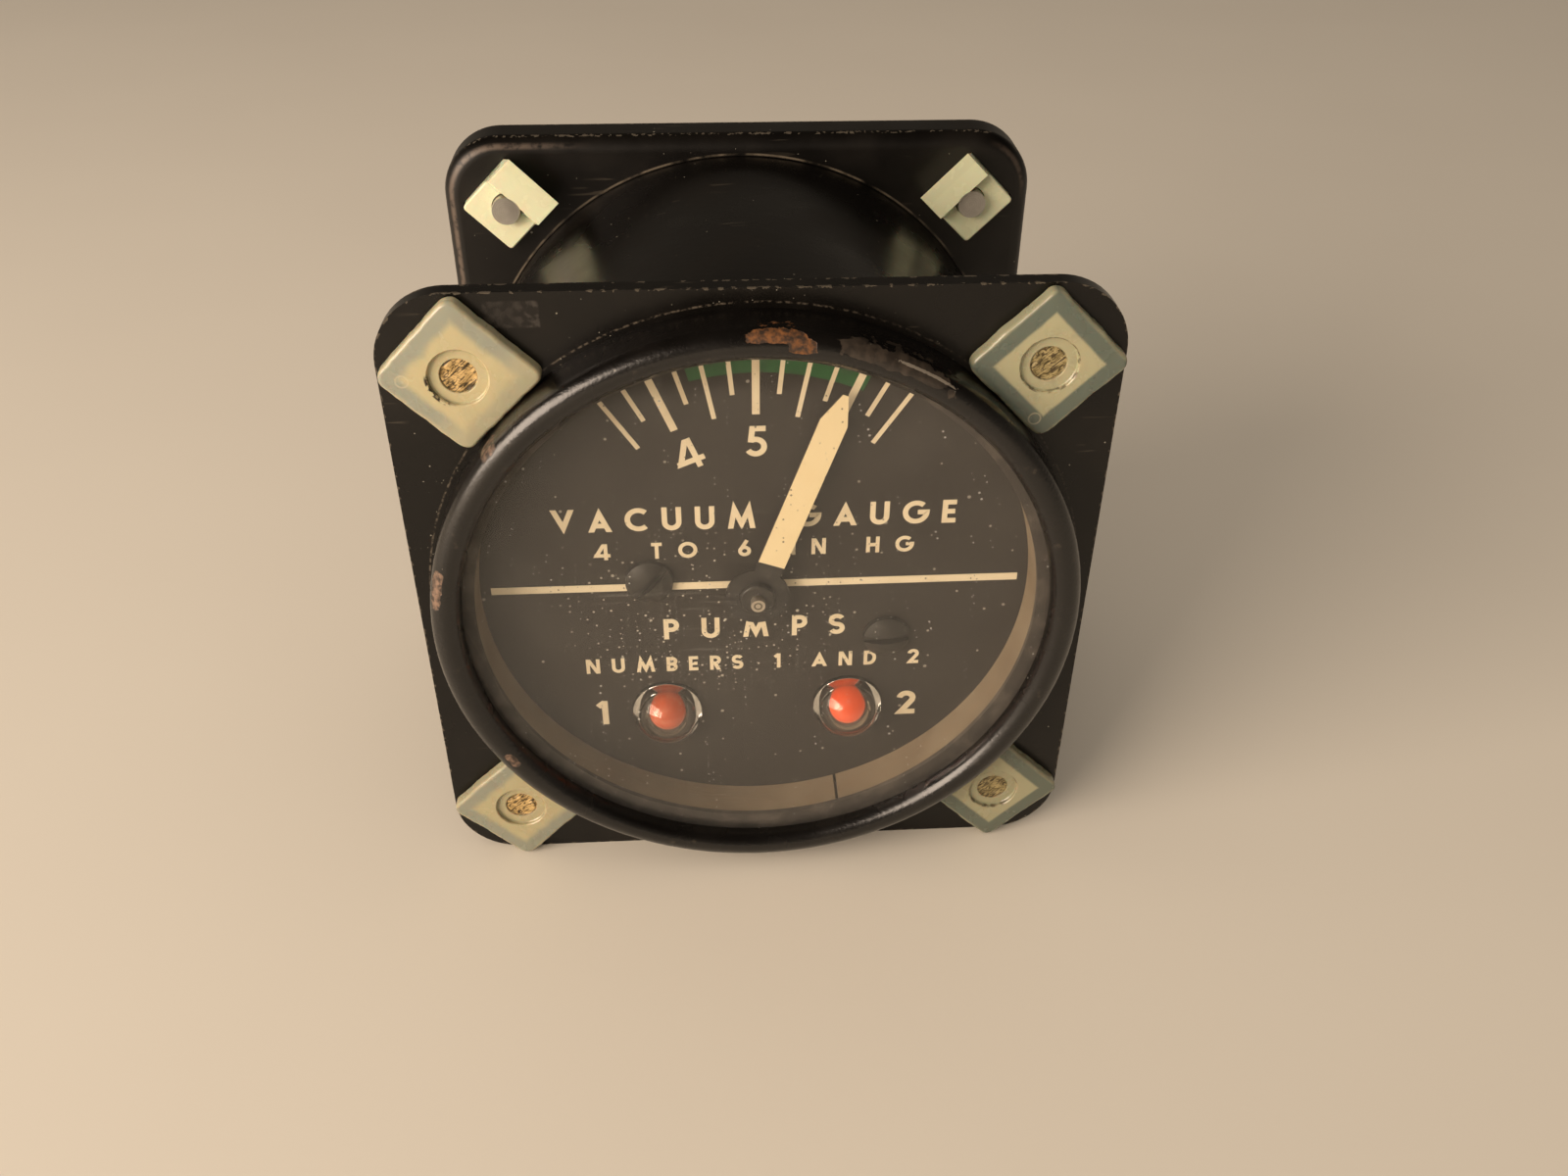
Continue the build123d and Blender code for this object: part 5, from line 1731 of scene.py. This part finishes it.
# Pieces that flex on the real gauge, built here at rest
@dataclass
class PlungerSpring:
    """The coil spring behind a plunger, built at rest; the real one closes up as the plunger is drawn
    back.
    """

    side: str
    x: float
    material: bpy.types.Material
    radius: float = 2.7
    wire: float = 0.25
    start: float = 7.65
    length: float = 6.0
    turns: int = 5
    closed_share: float = 0.46
    rows: int = 240
    columns: int = 12

    def build(self) -> None:
        """Makes the coil: a circle of the wire's radius carried square along a helix."""
        turn = np.linspace(0.0, 2 * np.pi * self.turns, self.rows)[:, None]
        rise = self.length / (2 * np.pi * self.turns)
        outwards = np.concatenate([np.cos(turn), 0.0 * turn, np.sin(turn)], axis=1)
        onwards = np.concatenate([-np.sin(turn), 0.0 * turn + rise / self.radius, np.cos(turn)], axis=1)
        onwards /= np.linalg.norm(onwards, axis=1, keepdims=True)
        across = np.cross(onwards, outwards)
        path = self.radius * outwards + np.array([self.x, self.start, INDICATOR_Z])
        path[:, 1:2] += rise * turn
        ring = even_turn(self.columns)[None, :, None]
        circle = np.cos(ring) * outwards[:, None] + np.sin(ring) * across[:, None]
        points = path[:, None] + self.wire * circle
        shape = Shape()
        shape.grid(points, wrap_columns=True)
        shape.faces.append(list(range(self.columns)))
        shape.faces.append(list(range(shape.count - self.columns, shape.count)))
        piece = shape.piece(f"{self.side}_plunger_spring")
        dress(piece, self.material, "housing", "spring_bronze", f"{self.side}_indicator_spring")
        seat = (self.x * METRE, (self.start + self.length + self.wire) * METRE, INDICATOR_Z * METRE)
        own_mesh(piece)


@dataclass
class CapsuleDisc:
    """The capsule's front disc, built at rest; on the real gauge its waves move with the push rod while
    its rim stays.
    """

    material: bpy.types.Material
    height: float = MAIN_PORT_Z
    front: float = 27.8
    rim_depth: float = 30.8
    radius: float = 12.0
    rim: float = 0.8
    centre: float = 2.6
    wave: float = 0.9
    waves: int = 3
    wall: float = 0.3
    columns: int = 96

    def build(self) -> None:
        """Makes the disc by turning its section: flat centre, waves of four points each, and rim."""
        width = (self.radius - self.rim - self.centre) / self.waves
        steps = np.arange(1, 4 * self.waves + 1)
        reach = self.centre + width * steps / 4
        depth = self.front + self.wave * ((steps - 1) % 4 < 2)
        reach = np.concatenate([[0.0, self.centre], reach, [self.radius]])
        depth = np.concatenate([[self.front, self.front], depth, [self.rim_depth - self.wall]])
        depth[-2] = self.rim_depth - self.wall
        reach = np.concatenate([reach, reach[::-1]])[:, None]
        depth = np.concatenate([depth, depth[::-1] + self.wall])[:, None]
        angles = even_turn(self.columns)[None, :]
        x, z = reach * np.sin(angles), self.height + reach * np.cos(angles)
        shape = Shape()
        shape.grid(np.stack([x, depth + 0.0 * angles, z], axis=2), wrap_columns=True)
        piece = shape.piece("capsule_disc")
        piece.data.materials.append(self.material)
        still = (0.0, (self.rim_depth - self.wall) * METRE, self.height * METRE)
        carried = (0.0, (self.front + self.wave + self.wall) * METRE, self.height * METRE)
        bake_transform(piece)
        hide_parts("capsule_front_disc")
        LOG.info("%s between housing and push_rod, %d faces", piece.name, len(piece.data.polygons))


# Ports
@dataclass
class Port:
    """A hex fitting with turned corners, a collar and a threaded mouth."""

    name: str
    x: float
    z: float
    socket: float
    material: bpy.types.Material
    hex_front: float = 41.8
    hex_back: float = 46.3
    mouth: float = 50.4
    flats: float = 14.3
    collar: float = 6.6
    shank: float = 4.8
    inner_end: float = 36.9
    passage: float = 1.2
    thread: float = 4.3
    thread_end: float = 42.4
    thread_start: float = 0.35
    thread_depth: float = 0.42
    pitch: float = 0.94
    hex_edge: float = 0.55
    mouth_edge: float = 0.4
    corner_share: float = 1.06
    socket_depth: float = 2.0
    columns: int = 96

    def hexagon(self, angles: np.ndarray) -> np.ndarray:
        """The hexagon's reach: half the flats over the cosine of the angle from the nearest flat."""
        sector = np.pi / 3
        return self.flats / 2 / np.cos((angles + sector / 2) % sector - sector / 2)

    def thread_rows(self, angles: np.ndarray) -> tuple[np.ndarray, np.ndarray]:
        """The mouth's thread: its radius falls by a triangle wave of depth over pitch plus angle.

        Args:
            angles: directions in radians.

        Returns:
            Radius and depth, rows by angles, from the mouth inwards.
        """
        start = self.mouth - self.thread_start
        depth = np.linspace(start, self.thread_end, 64)[:, None] + np.zeros((1, len(angles)))
        phase = (depth / self.pitch + angles[None, :] / (2 * np.pi)) % 1.0
        ridge = 1.0 - np.abs(2 * phase - 1.0)
        fade = np.clip(np.minimum(start - depth, depth - self.thread_end) / 0.5, 0.0, 1.0)
        return self.thread + 0.05 - self.thread_depth * ridge * fade, depth

    def build(self) -> None:
        """Makes the fitting as one closed turned surface whose middle rows follow the hexagon."""
        angles = even_turn(self.columns)
        hexagon = self.hexagon(angles)
        corner_circle = self.flats / 2 * self.corner_share
        socket_end = self.inner_end + self.socket_depth
        outside = [
            (self.socket, socket_end),
            (self.socket, self.inner_end),
            (self.shank, self.inner_end),
            (self.shank, self.hex_front),
            (corner_circle, self.hex_front),
            (None, self.hex_front + self.hex_edge),
            (None, self.hex_back - self.hex_edge),
            (corner_circle, self.hex_back),
            (self.collar, self.hex_back),
            (self.collar, self.mouth - self.mouth_edge),
            (self.collar - self.mouth_edge, self.mouth),
            (self.thread + self.mouth_edge, self.mouth),
        ]
        radius = [hexagon if r is None else np.minimum(hexagon, r) for r, _ in outside]
        depth = [np.full(len(angles), y) for _, y in outside]
        thread_radius, thread_depth = self.thread_rows(angles)
        radius += list(thread_radius)
        depth += list(thread_depth)
        for end in (self.thread_end, socket_end):
            radius.append(np.full(len(angles), self.passage))
            depth.append(np.full(len(angles), end))
        reach, level = np.stack(radius), np.stack(depth)
        x, z = self.x + reach * np.sin(angles), self.z + reach * np.cos(angles)
        shape = Shape()
        shape.grid(np.stack([x, level, z], axis=2), wrap_rows=True, wrap_columns=True)
        dress(shape.piece(f"{self.name}_fitting"), self.material, "housing", "port_brass", self.name)


# Studio
@dataclass(frozen=True)
class Lamp:
    """An oblong area lamp that looks at the gauge, with its place and size in metres."""

    name: str
    place: tuple[float, float, float]
    size: tuple[float, float]
    watts: float
    colour: Colour
    mirrored: bool

    def build(self) -> None:
        """Hangs the lamp, and hides it from glossy surfaces where it isn't mirrored."""
        data = bpy.data.lights.new(self.name, "AREA")
        data.shape, data.energy, data.color = "RECTANGLE", self.watts, self.colour
        data.size, data.size_y = self.size
        made = bpy.data.objects.new(self.name, data)
        made.location = self.place
        made.visible_glossy = self.mirrored
        made.rotation_euler = (-Vector(self.place)).to_track_quat("-Z", "Y").to_euler()
        bpy.context.scene.collection.objects.link(made)


@dataclass
class Studio:
    """Floor, lamps, world and camera."""

    window: Lamp = Lamp("window", (-0.45, -0.325, 0.188), (0.45, 0.30), 5.0, (1.0, 0.82, 0.66), True)
    overhead: Lamp = Lamp("overhead", (-0.15, -0.35, 0.70), (0.8, 0.8), 1.2, (1.0, 0.86, 0.73), False)
    floor_level: float = -FLANGE_HALF
    floor_half: float = 2200.0
    camera_place: tuple[float, float, float] = (-4.26107, -99.12246, 73.12551)
    camera_right: tuple[float, float, float] = (0.99808016, -0.06151553, 0.00720024)
    camera_up: tuple[float, float, float] = (0.03020349, 0.58491759, 0.81053018)
    lens: float = 31.2712
    world_light: float = 0.36
    light_colour: Colour = (1.0, 0.86, 0.72)
    room_colour: Colour = (0.66, 0.55, 0.42)
    horizon: float = 0.34
    horizon_height: float = 0.12
    zenith: float = 0.03
    zenith_height: float = 0.5

    def floor(self) -> None:
        """A large flat grid under the gauge, staged."""
        steps = np.linspace(-self.floor_half, self.floor_half, 9)
        x, y = np.meshgrid(steps, steps, indexing="ij")
        shape = Shape()
        shape.grid(np.stack([x, y, np.full_like(x, self.floor_level)], axis=2))
        floor = shape.piece("floor")
        floor.data.materials.append(FloorSheet().build())
        LOG.info("%s staged, %d faces", floor.name, len(floor.data.polygons))

    def world(self) -> None:
        """A plain soft world: an even light, seen and mirrored as a pale room with a dim ceiling."""
        world = bpy.data.worlds.new("soft_room")
        world.use_nodes = True
        tree = world.node_tree
        tree.nodes.clear()
        rays = add_node(tree, "ShaderNodeLightPath").outputs
        larger = {"operation": "MAXIMUM"}
        pair = {0: rays["Is Camera Ray"], 1: rays["Is Glossy Ray"]}
        seen = add_node(tree, "ShaderNodeMath", larger, pair).outputs[0]
        pair = {0: seen, 1: rays["Is Transmission Ray"]}
        seen = add_node(tree, "ShaderNodeMath", larger, pair).outputs[0]
        even = {"Color": self.light_colour, "Strength": self.world_light}
        light = add_node(tree, "ShaderNodeBackground", {}, even).outputs[0]
        place = add_node(tree, "ShaderNodeTexCoord").outputs["Generated"]
        fall = {
            "Value": add_node(tree, "ShaderNodeSeparateXYZ", {}, {0: place}).outputs[2],
            "From Min": self.horizon_height,
            "From Max": self.zenith_height,
            "To Min": self.horizon,
            "To Max": self.zenith,
        }
        strength = add_node(tree, "ShaderNodeMapRange", {}, fall).outputs[0]
        pale = {"Color": self.room_colour, "Strength": strength}
        room = add_node(tree, "ShaderNodeBackground", {}, pale).outputs[0]
        mixed = add_node(tree, "ShaderNodeMixShader", {}, {0: seen, 1: light, 2: room}).outputs[0]
        add_node(tree, "ShaderNodeOutputWorld", {}, {"Surface": mixed})
        bpy.context.scene.world = world

    def camera(self) -> None:
        """The camera at the photograph's place and angle."""
        data = bpy.data.cameras.new("camera")
        data.sensor_fit, data.sensor_width, data.lens = "HORIZONTAL", 36.0, self.lens
        data.clip_start, data.clip_end = 0.005, 20.0
        made = bpy.data.objects.new("camera", data)
        right, up = Vector(self.camera_right), Vector(self.camera_up)
        turn = Matrix((right, up, right.cross(up))).transposed().to_4x4()
        made.matrix_world = Matrix.Translation(Vector(self.camera_place) * METRE) @ turn
        bpy.context.scene.collection.objects.link(made)
        bpy.context.scene.camera = made

    def build(self) -> None:
        """Sets the stage."""
        self.camera()
        self.floor()
        self.world()
        self.window.build()
        self.overhead.build()
        bpy.context.scene.view_settings.view_transform = "Standard"


# The gauge
def dress_nodes(finishes: dict[str, bpy.types.Material]) -> None:
    """Gives every CAD node the finish of its slot, and the pointer's staff its own.

    Args:
        finishes: the material of each of the record's slots.
    """
    for name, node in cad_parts.items():
        for slot in node.material_slots:
            slot.material = finishes[slot.material.name.split(".")[0]]
        LOG.info("%s wears %s", name, node.material_slots[0].material.name)
    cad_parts["pinion_staff"].material_slots[0].material = STAFF_STEEL.build()


def main() -> None:
    """Builds the stage, the finishes and each new piece."""
    logging.basicConfig(level=logging.INFO, format="%(message)s")
    Studio().build()
    finishes = {slot: finish.build() for slot, finish in FINISHES.items()}
    rear_nylon = REAR_NYLON.build()
    dress_nodes(finishes)
    nylon = finishes["nut_nylon"]
    front = CaptiveNuts("front_nuts", Side.FRONT, 0.0, 1.6, 4.80, 0.0, nylon)
    front.build("front_captive_nuts", "nut_nylon")
    HoleGrime().build()
    rear = CaptiveNuts("rear_nuts", Side.BACK, 38.3, 0.8, 3.70, 1.35, rear_nylon)
    rear.build("rear_captive_nuts", "nut_nylon")
    DialPrint(finishes["dial_white"]).build()
    IndicatorDomes(finishes["lens_clear"]).build()
    for name, x in (("left", -INDICATOR_X), ("right", INDICATOR_X)):
        PlungerSpring(name, x, finishes["spring_bronze"]).build()
    CapsuleDisc(finishes["spring_bronze"]).build()
    ports = zip(("main_port", "left_pump_port", "right_pump_port"), PORT_AXES, (2.05, 1.55, 1.55))
    for name, (x, z), socket in ports:
        Port(name, x, z, socket, finishes["port_brass"]).build()


if __name__ == "__main__":
    main()
